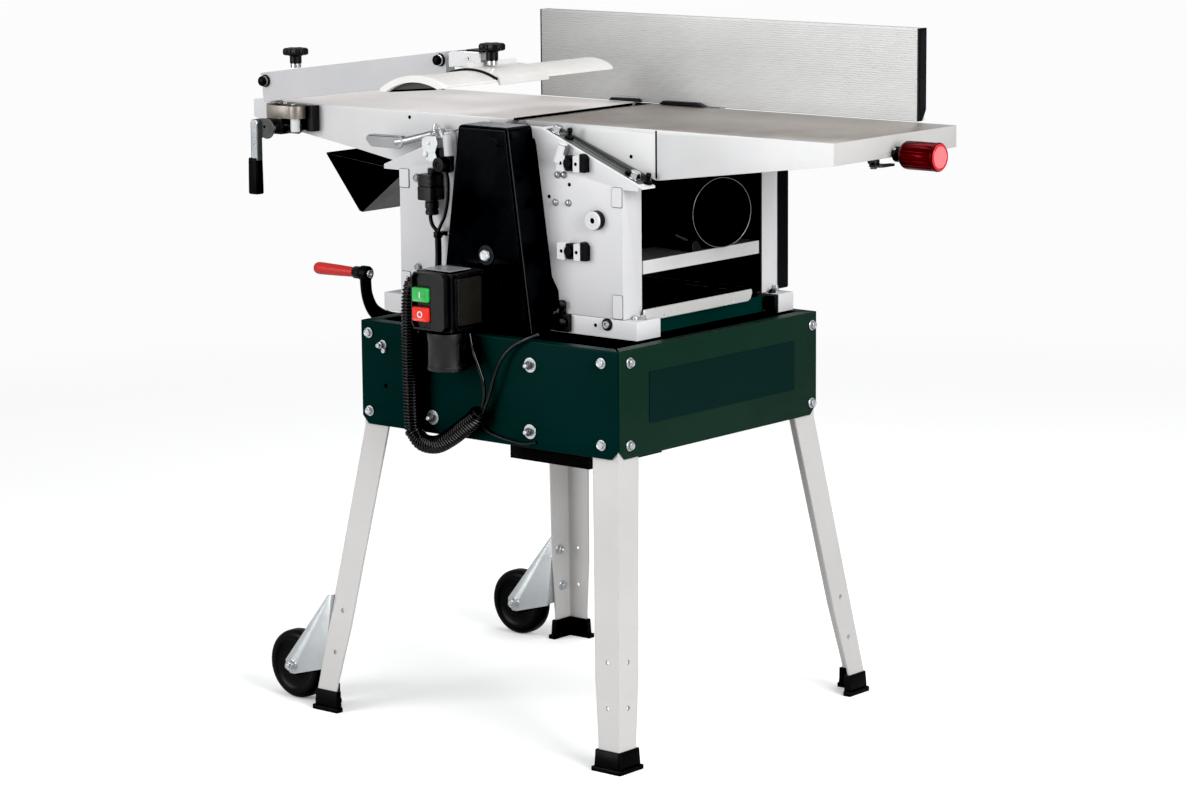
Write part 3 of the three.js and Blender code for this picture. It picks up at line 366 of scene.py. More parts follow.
# Silver with painted shade: the front and rear plates' inward faces, and the rear rail's -Y faces
# and its faces under the bed, go near-black.
PLATE_FRONT = painted("plate_silver_front", painted_shade_side=1.0, **SILVER_COAT)
PLATE_REAR = painted("plate_silver_rear", painted_shade_side=-1.0, **SILVER_COAT)
RAIL_REAR = painted("rail_silver_rear", painted_shade_side=-1.0, painted_shade_left_of=0.150, **SILVER_COAT)
LEG = painted("leg_grey_paint", (0.505, 0.495, 0.485), rough=0.46, spec=0.22, peel=760,
              var=0.05, metallic=0.06, shade=0.16, wear=(0.70, 0.69, 0.67, 0.45), fold=2.2)
BLACK = painted("black_powder_coat", (0.0030, 0.0030, 0.0034), spec=0.07, peel=650,
                peel_strength=0.15, var=0.15, wear=(0.05, 0.05, 0.05, 0.5), shade=0.1)
COVER = painted("black_gloss_cover", (0.0010, 0.0012, 0.0016), rough=0.20, spec=0.07,
                peel=240, peel_strength=0.03, var=0.1, wear=(0.06, 0.06, 0.062, 0.4),
                shade=0.0, rough_var=0.05)
# Near-black standing in for shade inside the machine: the lift screws and nuts and the roll behind
# the bar are painted dark.
SHADE_BLACK = painted("painted_shade_black", (0.0015, 0.0015, 0.0015), rough=0.7, spec=0.02, peel=500,
                 peel_strength=0.1, var=0.1)
BLANK = painted("dark_blank_plate", (0.0014, 0.0120, 0.0105), rough=0.45, spec=0.08,
                peel_strength=0.0, var=0.02, shade=0.0, rough_var=0.02)

# Both tables are the same milled aluminium; the outfeed top is painted far lighter than the infeed
# top, a painted reflection of light.
INFEED = table_casting("infeed_casting", dark=(0.26, 0.222, 0.19), light=(0.40, 0.365, 0.335),
                       streak=(0.195, 0.170, 0.152), paint_dark=(0.55, 0.55, 0.555),
                       paint_light=(0.635, 0.635, 0.64), metallic=0.78)
OUTFEED = table_casting("outfeed_casting", dark=(0.84, 0.79, 0.77), light=(0.95, 0.91, 0.895),
                        streak=(0.70, 0.66, 0.64), paint_dark=(0.585, 0.585, 0.59),
                        paint_light=(0.67, 0.67, 0.675), metallic=0.35)

FINE_PEEL = (300, 0.05, 0.03)
# painted shade: the fence darkens towards its left end
FENCE = metal("fence_anodised", (0.52, 0.52, 0.515), rough=0.46, brush=2.0,
              brush_scale=(4, 60, 900), brush_amount=0.25, grime=0.02, metallic=0.25,
              wear=0.2, rough_var=0.03, painted_shade_x=(-0.25, 0.05, 0.62))
ARM = metal("arm_anodised", (0.44, 0.44, 0.455), rough=0.55, brush=2.4,
            brush_scale=(6, 500, 500), brush_amount=0.12, grime=0.02, metallic=0.06,
            wear=0.4, rough_var=0.02)
BLADE = metal("guard_profile", (0.68, 0.665, 0.64), rough=0.40, brush=2.0,
              brush_scale=(500, 5, 500), brush_amount=0.3, grime=0.05, metallic=0.20,
              wear=0.3, rough_var=0.04)
ZINC = metal("zinc_plate", (0.58, 0.61, 0.63), spangle=420, flake=0.07, grime=0.08,
             tint=(0.62, 0.58, 0.44, 0.06), wear=0.5, peel=FINE_PEEL, rough_var=0.04,
             metallic=0.85)
DULL_ZINC = metal("dull_zinc", (0.30, 0.31, 0.315), rough=0.32, grime=0.10,
                  tint=(0.30, 0.28, 0.22, 0.08), wear=0.6, peel=FINE_PEEL, rough_var=0.04,
                  metallic=0.8)
DARK_ZINC = metal("dark_zinc", (0.12, 0.12, 0.115), rough=0.34, grime=0.2, wear=0.6,
                  peel=(500, 0.08, 0.05))
STEEL = metal("machined_steel", (0.36, 0.365, 0.38), rough=0.28, brush=2.5,
              brush_scale=(500, 8, 500), brush_amount=0.8, grime=0.2, wear=0.4)
OILED = metal("oiled_screw", (0.045, 0.045, 0.045), rough=0.36, grime=0.25, wear=0.2,
              metallic=0.8)
BRIGHT = metal("bright_steel", (0.70, 0.71, 0.73), rough=0.20, grime=0.12, wear=0.3,
               peel=(500, 0.05, 0.03))
# The bed's upward faces are painted near-black as shade.
BED = metal("ground_bed", (0.64, 0.64, 0.63), rough=0.38, brush=2.5,
            brush_scale=(5, 500, 200), brush_amount=0.3, grime=0.06, metallic=0.3, wear=0.4,
            painted_shade_below=0.02)
# The bracket's upward faces and its part below z = 829 mm are painted near-black as shade.
CASTING = metal("raw_casting_painted_shade", (0.29, 0.265, 0.235), rough=0.42, grime=0.3,
                peel=(420, 0.45, 0.3), metallic=0.7, wear=0.8,
                tint=(0.17, 0.14, 0.12, 0.5), painted_shade_below=0.8290)
CAM = metal("cam_plate", (0.085, 0.088, 0.088), rough=0.34, grime=0.2, metallic=0.7,
            wear=0.8, peel=FINE_PEEL)
RED_SIDE = metal("red_knob_side", (0.085, 0.0006, 0.0032), rough=0.20, metallic=0.92,
                 grime=0.10, rough_var=0.03)
WAY = metal("machined_way", (0.105, 0.112, 0.106), rough=0.36, brush=2.5,
            brush_scale=(6, 500, 300), brush_amount=0.8, metallic=0.4, grime=0.3)
PALE_BOLT = metal("pale_bolt", (0.62, 0.65, 0.68), rough=0.32, metallic=0.45, wear=0.6,
                  peel=(400, 0.08, 0.05))
BAR = metal("rolled_bar", (0.74, 0.74, 0.72), grime=0.06, metallic=0.55, wear=0.2,
            rough_var=0.05)
# Dark grey for the shaded side of the leaning pin: painted shade.
PIN_SHADE = metal("pin_painted_shade", (0.12, 0.122, 0.122), rough=0.36, grime=0.2, metallic=0.4, wear=0.4,
            peel=(400, 0.06, 0.04))
PORT_HIGHLIGHT = metal("port_rim_highlight", (0.22, 0.22, 0.22), grime=0.3, metallic=0.85)

RUBBER = plastic("black_rubber", (0.0010, 0.0010, 0.0010), rough=0.42, spec=0.08,
                 grain=(520, 0.12, 0.10), dust=0.006)
PLASTIC = plastic("black_moulding", (0.0030, 0.0030, 0.0034), rough=0.36, spec=0.16,
                  grain=(1500, 0.16, 0.08), dust=0.015)
HOSE = plastic("black_conduit", (0.0012, 0.0012, 0.0014), rough=0.17, spec=0.32, grain=None,
               rough_var=0.03)
WHEEL = plastic("wheel_plastic", (0.0016, 0.0016, 0.0019), rough=0.36, spec=0.11,
                grain=(700, 0.12, 0.08), dust=0.012)
BELT = plastic("belt_rubber", (0.004, 0.004, 0.004), rough=0.6, spec=0.1,
               grain=(600, 0.2, 0.1))
CAP_PANEL = plastic("cap_panel", (0.006, 0.006, 0.007), rough=0.40, spec=0.14,
                    grain=(1500, 0.2, 0.08))
BOX = plastic("box_moulding", (0.0040, 0.0041, 0.0045), rough=0.34, spec=0.30,
              grain=(1300, 0.12, 0.08), dust=0.01)
# A lighter copy of the box plastic for its right side panel: painted light on the lit side.
BOX_LIT_SIDE = plastic("box_plastic_lit_side", (0.011, 0.0105, 0.0090), rough=0.30,
                   grain=(1300, 0.10, 0.06))
INLET = plastic("inlet_moulding", (0.0030, 0.0030, 0.0032), rough=0.30, spec=0.45,
                grain=(1300, 0.06, 0.05))
# Grey patch for glossy tops: a painted reflection of the light.
PAINTED_SHEEN = plastic("painted_sheen_grey", (0.23, 0.235, 0.245), rough=0.26, spec=0.45,
              grain=(1300, 0.06, 0.06))
SHADED = plastic("shaded_moulding", (0.055, 0.055, 0.055), rough=0.5, spec=0.1,
                 grain=(900, 0.1, 0.08))
# Black discs drawn in place of holes and bores: painted shade inside them. The same black also
# fills the skirt seam and the way-strip lines.
HOLE = plastic("dark_hole", (0.002, 0.002, 0.002), rough=0.8, spec=0.02, grain=None)
RED = plastic("red_plastic", (0.46, 0.016, 0.014), rough=0.30, spec=0.30,
              grain=(1100, 0.06, 0.05), coat=0.12)
RED_RIM = plastic("red_knob_rim", (0.46, 0.012, 0.026), rough=0.30, spec=0.25,
                  grain=(900, 0.05, 0.05), coat=0.10)
RED_END = plastic("red_knob_end", (0.66, 0.155, 0.165), rough=0.36, spec=0.25,
                  grain=(900, 0.06, 0.05), coat=0.10)
GREEN_BUTTON = plastic("green_button", (0.028, 0.36, 0.07), rough=0.28, spec=0.3,
                       grain=(1200, 0.04, 0.04), coat=0.12)
RED_BUTTON = plastic("red_button", (0.70, 0.026, 0.015), rough=0.28, spec=0.3,
                     grain=(1200, 0.04, 0.04), coat=0.12)
WHITE = plastic("white_moulding", (0.68, 0.665, 0.64), spec=0.25, grain=(1300, 0.08, 0.06),
                var=0.03)
WHITE_SLIDER = plastic("white_slider", (0.56, 0.55, 0.535), rough=0.36, spec=0.25,
                       grain=(1300, 0.08, 0.06), var=0.03)
MARK = plastic("white_mark", (0.72, 0.72, 0.70), rough=0.4, spec=0.3,
               grain=(900, 0.03, 0.03), var=0.02)


# ============================================================ raw geometry, in mm
class Raw:
    """Vertices, faces and one material index."""

    def __init__(self, verts, faces, mat=0):
        self.verts = np.array(verts, float).reshape(-1, 3)
        self.faces = faces
        self.mat = mat

    def outward(self):
        """Turns every face over if the enclosed volume comes out negative."""
        total = 0.0
        for face in self.faces:
            first = self.verts[face[0]]
            for i in range(1, len(face) - 1):
                second, third = self.verts[face[i]], self.verts[face[i + 1]]
                total += np.dot(first, np.cross(second, third))
        if total < 0:
            self.faces = [face[::-1] for face in self.faces]
        return self

    def placed(self, at, axis, spin=0.0):
        """Takes a shape built along +Z at the origin to a place and direction."""
        x, y, z = axes_of(axis)
        c, s = math.cos(spin), math.sin(spin)
        self.verts = self.verts @ np.array([x * c + y * s, y * c - x * s, z], float)
        self.verts = self.verts + np.array(at, float)
        return self


def axes_of(axis):
    z = Vector(axis).normalized()
    x = z.orthogonal().normalized()
    return x, z.cross(x), z


def box(x0, x1, y0, y1, z0, z1, mat=0):
    verts = [(x, y, z) for z in (z0, z1) for y in (y0, y1) for x in (x0, x1)]
    return Raw(verts, [(0, 2, 3, 1), (4, 5, 7, 6), (0, 1, 5, 4), (2, 6, 7, 3), (0, 4, 6, 2),
                       (1, 3, 7, 5)], mat)


def prism(outline, start, end, axis="y", mat=0):
    """Closed outline pushed along an axis: (x, z) for y, (y, z) for x, (x, y) for z."""
    points = np.array(outline, float)
    ahead = np.roll(points, -1, axis=0)
    if np.sum(points[:, 0] * ahead[:, 1] - ahead[:, 0] * points[:, 1]) < 0:
        points = points[::-1]
    levels = (end, start) if axis == "y" else (start, end)
    verts = [np.insert(points, "xyz".index(axis), level, axis=1) for level in levels]
    n = len(points)
    faces = [tuple(range(n))[::-1], tuple(range(n, 2 * n))]
    faces += [(i, (i + 1) % n, n + (i + 1) % n, n + i) for i in range(n)]
    return Raw(np.vstack(verts), faces, mat)


def lathe(profile, at=(0, 0, 0), axis=UP, seg=32, mat=0, radial=None):
    """Turns (radius, height) points; ends on the axis close to a point, others in a loop."""
    across, along, spindle = axes_of(axis)
    verts, rows = [], []
    for radius, height in profile:
        first = len(verts)
        if radius < 1e-9:
            verts.append(spindle * height)
        else:
            for i in range(seg):
                a = 2 * math.pi * i / seg
                q = radius if radial is None else radial(radius, height, a)
                verts.append(across * (q * math.cos(a)) + along * (q * math.sin(a))
                             + spindle * height)
        rows.append(range(first, len(verts)))
    pairs = list(zip(rows, rows[1:]))
    if len(rows[0]) > 1 and len(rows[-1]) > 1:
        pairs.append((rows[-1], rows[0]))
    faces = []
    for low, high in pairs:
        for i in range(seg):
            j = (i + 1) % seg
            if len(low) == 1:
                faces.append((low[0], high[j], high[i]))
            elif len(high) == 1:
                faces.append((low[i], low[j], high[0]))
            else:
                faces.append((low[i], low[j], high[j], high[i]))
    points = np.array([list(p) for p in verts]) + np.array(at, float)
    return Raw(points, faces, mat).outward()


def disc(at, axis, radius, height, seg=18):
    return lathe([(0, 0), (radius, 0), (radius, height), (0, height)], at, axis, seg)


def skin(rings, mat=0, closed=False):
    """Joins rings of equal length in order; caps the ends, or joins the last to the first."""
    n, count = len(rings[0]), len(rings)
    faces = []
    for i in range(count if closed else count - 1):
        low, high = i * n, (i + 1) % count * n
        for k in range(n):
            j = (k + 1) % n
            faces.append((low + k, low + j, high + j, high + k))
    if not closed:
        faces.append(tuple(range(n))[::-1])
        faces.append(tuple(range((count - 1) * n, count * n)))
    return Raw([point for ring in rings for point in ring], faces, mat)


def loft(rings):
    return skin(rings).outward()


def smooth_path(points, steps):
    """Catmull-Rom curve through the points."""
    p = [np.array(q, float) for q in points]
    p = [2 * p[0] - p[1]] + p + [2 * p[-1] - p[-2]]
    out = []
    for i in range(1, len(p) - 2):
        before, here, after, beyond = p[i - 1:i + 3]
        for j in range(steps):
            t = j / steps
            out.append(0.5 * ((2 * here) + (-before + after) * t
                              + (2 * before - 5 * here + 4 * after - beyond) * t * t
                              + (-before + 3 * here - 3 * after + beyond) * t ** 3))
    out.append(p[-2])
    return np.array(out)


def resample(path, step):
    """Evenly spaced points along a path, and their distances from its start."""
    lengths = np.linalg.norm(np.diff(path, axis=0), axis=1)
    travelled = np.r_[0, np.cumsum(lengths)]
    count = max(2, int(round(travelled[-1] / step)) + 1)
    even = np.linspace(0, travelled[-1], count)
    return np.stack([np.interp(even, travelled, path[:, k]) for k in range(3)], 1), even


def tube(path, radius, seg, mat=0, squash=(1, 1), up=None):
    """Capped tube along a path; the radius is one number or one per point."""
    path = np.array(path, float)
    radii = np.full(len(path), radius, float) if np.isscalar(radius) else radius
    ahead = np.gradient(path, axis=0)
    ahead /= np.linalg.norm(ahead, axis=1)[:, None]
    side = np.array(Vector(ahead[0]).orthogonal() if up is None else up, float)
    rings = []
    for centre, tangent, r in zip(path, ahead, radii):
        side = side - tangent * np.dot(side, tangent)
        side /= np.linalg.norm(side)
        other = np.cross(tangent, side)
        ring = []
        for k in range(seg):
            a = 2 * math.pi * k / seg
            ring.append(centre + r * (squash[0] * math.cos(a) * side
                                      + squash[1] * math.sin(a) * other))
        rings.append(ring)
    return skin(rings, mat)


def rounded(width, height, radius, at=(0, 0), n=5):
    """Rounded rectangle outline centred on a point."""
    points = []
    for sx, sy, start in ((1, 1, 0), (-1, 1, 90), (-1, -1, 180), (1, -1, 270)):
        for i in range(n + 1):
            a = (start + 90 * i / n) * RAD
            points.append((at[0] + sx * (width / 2 - radius) + radius * math.cos(a),
                           at[1] + sy * (height / 2 - radius) + radius * math.sin(a)))
    return points


def framed(outer, inner, front, back):
    """Plate with an opening, from two (x, z) outlines with the same number of points."""
    n = len(outer)
    verts = [(x, y, z) for y in (front, back) for outline in (outer, inner)
             for x, z in outline]
    faces = []
    for k in range(n):
        j = (k + 1) % n
        faces += [(k, j, n + j, n + k), (2 * n + k, 3 * n + k, 3 * n + j, 2 * n + j),
                  (k, 2 * n + k, 2 * n + j, j), (n + k, n + j, 3 * n + j, 3 * n + k)]
    return Raw(verts, faces).outward()


# ---- fasteners; 'at' is the point on the face they stand on
def hex_bolt(at, axis, flats, h, washer=0, wt=0, spin=0.2, recess=True, shank=0):
    """Chamfered hex head, h high, on a washer of that radius and wt thick."""
    parts = []
    base = 0
    if washer:
        base = wt
        parts.append(lathe([(0, 0), (washer - 0.5, 0), (washer, 0.4), (washer, wt - 0.4),
                            (washer - 0.5, wt), (0, wt)], seg=28))
    # (scale, height, radius the hexagon is trimmed to)
    levels = [(1.0, base, None), (1.0, base + h - 1.2, None),
              (1.0, base + h - 0.5, flats / 2 * 1.06), (0.94, base + h, flats / 2)]
    if recess:
        levels += [(0.74, base + h, flats / 2), (0.66, base + h - 0.7, flats / 2)]
    rings = []
    for scale, z, trim in levels:
        ring = []
        for i in range(24):
            a = 2 * math.pi * i / 24
            q = (flats / 2) / math.cos(((a + math.pi / 6) % (math.pi / 3)) - math.pi / 6)
            if trim is not None:
                q = min(q, trim)
            ring.append((q * scale * math.cos(a), q * scale * math.sin(a), z))
        rings.append(ring)
    parts.append(skin(rings))
    if shank:
        top = base + h
        parts.append(lathe([(0, top - 1), (3.4, top - 1), (3.4, top + shank - 0.6),
                            (2.8, top + shank), (0, top + shank)], seg=18))
    return [part.placed(at, axis, spin) for part in parts]


def dome_bolt(at, axis, r, h, washer=0):
    arc = [(r * math.cos(a), 0.6 + (h - 0.6) * math.sin(a))
           for a in np.linspace(0.15, math.pi / 2 - 0.15, 6)]
    profile = [(0, -0.2), (r, -0.2), (r, 0.6)] + arc + [(0, h)]
    parts = [lathe(profile, at=(0, 0, 1.4 if washer else 0), seg=26)]
    if washer:
        parts.append(lathe([(0, 0), (washer - 0.4, 0), (washer, 0.3), (washer, 1.2),
                            (washer - 0.4, 1.5), (0, 1.5)], seg=26))
    return [part.placed(at, axis) for part in parts]


def socket_screw(at, axis, r, h, hole):
    return lathe([(0, 0), (r, 0), (r, h - 0.8), (r - 0.8, h), (hole + 0.3, h),
                  (hole, h - 0.3), (hole, h - 2.6), (0, h - 2.6)], seg=24).placed(at, axis)


def star_knob(r, h, stem_r, stem_h, at=(0, 0, 0)):
    """Six-lobed head on a stem whose foot is at the given point."""
    def lobes(q, height, a):
        return q if q < stem_r + 1.5 else q * (0.90 + 0.10 * math.cos(6 * a))
    t = stem_h
    profile = [(0, 0), (stem_r - 0.6, 0), (stem_r, 0.6), (stem_r, t - 2),
               (stem_r + 1.4, t - 0.2), (r - 3.0, t), (r - 0.8, t + 1.0), (r, t + 2.6),
               (r, t + h - 3.2), (r - 0.9, t + h - 1.2), (r - 3.0, t + h),
               (7.5, t + h + 0.4), (7.0, t + h - 0.8), (0, t + h - 0.9)]
    return lathe(profile, at, seg=72, radial=lobes)


# ============================================================ objects
def as_list(value):
    return value if isinstance(value, list) else [value]


def flat(parts):
    for part in as_list(parts):
        if isinstance(part, Raw):
            yield part
        else:
            yield from flat(part)


def add_bevel(obj, width, segments, angle, harden):
    bevel = obj.modifiers.new("Bevel", "BEVEL")
    bevel.width = width * MM
    bevel.segments = segments
    bevel.limit_method = "ANGLE"
    bevel.angle_limit = angle * RAD
    bevel.harden_normals = harden
    bevel.use_clamp_overlap = True
    bevel.miter_outer = "MITER_ARC"
    return bevel


def piece(name, parts, finish, slot, body="frame", bevel=0.0, seg=2, angle=35, shade=32,
          replaces=None):
    """Makes one object of raw parts, given in mm from the stand's centre."""
    verts, faces, indices, offset = [], [], [], 0
    for raw in flat(parts):
        verts.append(raw.verts)
        faces += [tuple(i + offset for i in face) for face in raw.faces]
        indices += [raw.mat] * len(raw.faces)
        offset += len(raw.verts)
    points = (np.concatenate(verts) + np.array([STAND_X, 0.0, 0.0])) * MM
    mesh = bpy.data.meshes.new(name)
    mesh.from_pydata(points.tolist(), [], faces)
    mesh.validate()
    for material in as_list(finish):
        mesh.materials.append(material)
    # validate() may drop faces, and the indices would then no longer line up
    if len(indices) == len(mesh.polygons):
        mesh.polygons.foreach_set("material_index", np.array(indices, np.int32))
    mesh.shade_smooth()
    mesh.set_sharp_from_angle(angle=shade * RAD)
    mesh.update()
    obj = bpy.data.objects.new(name, mesh)
    bpy.context.scene.collection.objects.link(obj)
    if bevel:
        add_bevel(obj, bevel, seg, angle, harden=True)
    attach(obj, body)
    if replaces:
        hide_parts(replaces)
    return obj


def smooth_group(degrees):
    """Geometry nodes that drop stored normals and smooth all edges below an angle."""
    group = bpy.data.node_groups.new(f"ShadeByAngle{degrees}", "GeometryNodeTree")
    for direction in ("INPUT", "OUTPUT"):
        group.interface.new_socket("Geometry", in_out=direction,
                                   socket_type="NodeSocketGeometry")
    new, link = group.nodes.new, group.links.new
    start, end = new("NodeGroupInput"), new("NodeGroupOutput")
    clear = new("GeometryNodeRemoveAttribute")
    clear.inputs["Name"].default_value = "custom_normal"
    faces = new("GeometryNodeSetShadeSmooth")
    faces.domain = "FACE"
    edges = new("GeometryNodeSetShadeSmooth")
    edges.domain = "EDGE"
    edges.inputs["Shade Smooth"].default_value = False
    angle = new("GeometryNodeInputMeshEdgeAngle")
    sharp = new("FunctionNodeCompare")
    sharp.operation = "GREATER_THAN"
    sharp.inputs[1].default_value = degrees * RAD
    link(start.outputs[0], clear.inputs[0])
    link(clear.outputs[0], faces.inputs["Geometry"])
    link(faces.outputs[0], edges.inputs["Geometry"])
    link(angle.outputs[0], sharp.inputs[0])
    link(sharp.outputs[0], edges.inputs["Selection"])
    link(edges.outputs[0], end.inputs[0])
    return group


SMOOTH = {degrees: smooth_group(degrees) for degrees in (33, 8)}


def cad(node, finish, bevel, seg, slot, angle=30, smooth=33):
    """Gives a CAD node a finish, rounded edges and smooth shading; its mesh is untouched."""
    obj = NODES[node]
    obj.data.materials.clear()
    obj.data.materials.append(finish)
    obj.modifiers.new("Weld", "WELD").merge_threshold = 2e-5
    if bevel:
        add_bevel(obj, bevel, seg, angle, harden=False)
    obj.modifiers.new("Shade", "NODES").node_group = SMOOTH[smooth]


# CAD nodes, finish, bevel width mm, bevel segments, slot, other settings
CAD_LOOKS = [
    ("stand_front_panel stand_rear_panel", GREEN, 0.9, 3, "stand_green", {}),
    ("stand_right_panel stand_left_panel", GREEN_LIT_SIDE, 0.9, 3, "stand_green", {}),
    ("leg_front_left leg_front_right leg_rear_left leg_rear_right",
     LEG, 0, 2, "leg_silver", dict(smooth=8)),
    ("foot_front_left foot_front_right foot_rear_left foot_rear_right",
     RUBBER, 1.4, 3, "rubber_black", {}),
    ("base_rail_front", SILVER, 1.3, 3, "frame_silver", {}),
    ("base_rail_rear", RAIL_REAR, 1.3, 3, "frame_silver", {}),
    ("front_plate", PLATE_FRONT, 0.8, 2, "frame_silver", {}),
    ("rear_plate", PLATE_REAR, 0.8, 2, "frame_silver", {}),
    ("base_pan", PAN, 0.6, 2, "stand_green", {}),
    ("rear_drive_cover", BLACK, 2.2, 3, "machine_black", {}),
    ("infeed_table", INFEED, 0.8, 2, "table_alu", {}),
    ("outfeed_table", OUTFEED, 0.8, 2, "table_alu", {}),
    ("wheel_bracket_front wheel_bracket_rear", ZINC, 0.6, 2, "zinc_plated", {}),
    ("bed", BED, 0.8, 2, "cast_iron_bed", {}),
    ("chip_hood", COVER, 0.5, 1, "machine_black", {}),
    ("cutterblock cutter_pulley motor_pulley infeed_roller anti_kickback_fingers",
     STEEL, 0.25, 1, "ground_steel", dict(angle=40)),
    # lift screws and nuts painted near-black as shade
    ("lift_screw_left lift_screw_right lift_nut_left lift_nut_right",
     SHADE_BLACK, 0.25, 1, "ground_steel", dict(angle=40)),
    ("outfeed_roller", RUBBER, 0.4, 1, "ground_steel", {}),
    ("drive_belt", BELT, 0.3, 1, "belt_rubber", {}),
    ("motor_housing", BLACK, 1.5, 2, "machine_black", {}),
    ("fence_carriage fence_bracket", SILVER, 1.0, 2, "frame_silver", {}),
    ("guard_bracket", CASTING, 1.1, 3, "cast_alu", {}),
    ("guard_arm", ARM, 0.7, 2, "arm_alu", dict(smooth=8)),
    ("guard_holder depth_lock_lever", ZINC, 0.8, 2, "zinc_plated", {}),
    ("outfeed_clamp_lever", ZINC, 1.0, 2, "zinc_plated", {}),
    ("guard_clamp_lever", ZINC, 0.8, 2, "zinc_plated", {}),
    ("limit_switch", PLASTIC, 1.2, 2, "plastic_black", {}),
    ("switch_box", PLASTIC, 1.5, 3, "plastic_black", {}),
    ("belt_cover", COVER, 0.8, 2, "cover_black", {}),
    ("crank_arm", BLACK, 0.8, 2, "crank_black", {}),
    ("start_button", GREEN_BUTTON, 0.8, 2, "button_green", {}),
    ("stop_button", RED_BUTTON, 0.8, 2, "button_red", {}),
    ("cable_conduit guard_height_knob guard_slide_knob", PLASTIC, 0.5, 1,
     "plastic_black", {}),
    ("fence", FENCE, 0.5, 1, "fence_alu", {}),
    ("guard_blade", BLADE, 0.4, 1, "guard_white", {}),
    ("guard_slider", WHITE, 0.6, 2, "plastic_white", {}),
    ("depth_knob crank_grip", RED_SIDE, 0.3, 1, "plastic_red", {}),
    ("wheel_front wheel_rear", WHEEL, 0.5, 1, "wheel_black", {}),
]


# ============================================================ pieces
def fence():
    """Ribbed extrusion with end caps, and its fixings to the carriage."""
    front, back, bottom, top = 173.6, 192.2, 851.0, 978.4
    left_end, right_end = -233.2, 441.4
    ribs = 40
    pitch = (top - bottom - 1.0) / ribs
    section = [(front + 0.9, bottom)]
    for i in range(ribs):
        z = bottom + 0.5 + i * pitch
        section += [(front + 0.55, z), (front, z + 0.45), (front, z + pitch - 1.05),
                    (front + 0.55, z + pitch - 0.6)]
    section += [(front + 0.9, top), (back - 1, top), (back, top - 1), (back, top - 26),
                (back - 1.2, top - 27), (back - 1.2, bottom + 64), (back, bottom + 63),
                (back, bottom + 1), (back - 1, bottom)]
    piece("fence_extrusion", prism(section, left_end, right_end, "x"), FENCE, "fence_alu",
          "fence", shade=25, replaces="fence")
    cap = [(173.4, 851.2), (173.4, 978.4), (192.4, 978.4), (192.4, 866.0), (183.0, 851.2)]
    piece("fence_end_caps", [prism(cap, 441.5, 444.0, "x"), prism(cap, -235.5, -233.3, "x")],
          PLASTIC, "plastic_black", "fence", bevel=0.5)
    inner = [(176.5, 868.0), (176.5, 974.6), (189.4, 974.6), (189.4, 872.0)]
    piece("fence_cap_panels", prism(inner, 444.02, 444.5, "x"), CAP_PANEL, "plastic_black",
          "fence", bevel=0.2, seg=1)
    left_shoe = [(-100, 851.2), (-96, 855.6), (-46, 856.4), (-40, 851.2)]
    right_shoe = [(-4, 851.2), (4, 856.2), (66, 856.6), (80, 851.2)]
    piece("fence_shoes", [prism(left_shoe, 166.5, 173.4), prism(right_shoe, 163.5, 173.4)],
          PLASTIC, "plastic_black", "fence", bevel=0.8)
    gusset = [(192.4, 884), (192.4, 930), (196.0, 930), (196.0, 912), (204.5, 899),
              (204.5, 895), (196.6, 884)]
    piece("fence_gussets",
          [[prism(gusset, x - 2, x + 2, "x"),
            hex_bolt((x, 196.2, 918), BACK, flats=8, h=3, washer=6, wt=1)] for x in (-46, 6)],
          SILVER, "frame_silver", "fence", bevel=0.4)
    piece("fence_carriage_bolts",
          [hex_bolt((x, 232, 858.05), UP, flats=10, h=5, washer=8, wt=1.4) for x in (-50, 10)],
          ZINC, "zinc_plated", "fence_carriage", bevel=0.2, seg=1)
    piece("fence_lock_knob", star_knob(15.5, 10, 7.5, 14).placed((-20, 262, 858.1 + 4), UP),
          PLASTIC, "plastic_black", "fence_carriage", bevel=0.5)


# The guard is an arched profile along Y; its section is drawn level, then tilted into place.
GUARD_AT = (-72.5, 905.3)       # x and z of the section's origin
GUARD_TILT = 4.9 * RAD
GUARD_HALF = 57.5               # half the chord
GUARD_SAG = 15.5                # rise of the arch


def arch(offset, n=40, trim=1.0):
    """Arc parallel to the guard's top; trim shortens it at both ends."""
    radius = (GUARD_HALF ** 2 + GUARD_SAG ** 2) / (2 * GUARD_SAG)
    reach = math.asin(GUARD_HALF / radius) * trim
    return [((radius + offset) * math.sin(a),
             (radius + offset) * math.cos(a) - radius + GUARD_SAG)
            for a in np.linspace(-reach, reach, n + 1)]


def tilted(points):
    c, s = math.cos(GUARD_TILT), math.sin(GUARD_TILT)
    return [(GUARD_AT[0] + x * c - z * s, GUARD_AT[1] + x * s + z * c) for x, z in points]


def guard_far_end(across):
    """y of the profile's rounded far end."""
    return 86 - 15 * (1 - math.sqrt(max(0.0, 1 - (across / 58.5) ** 2)))


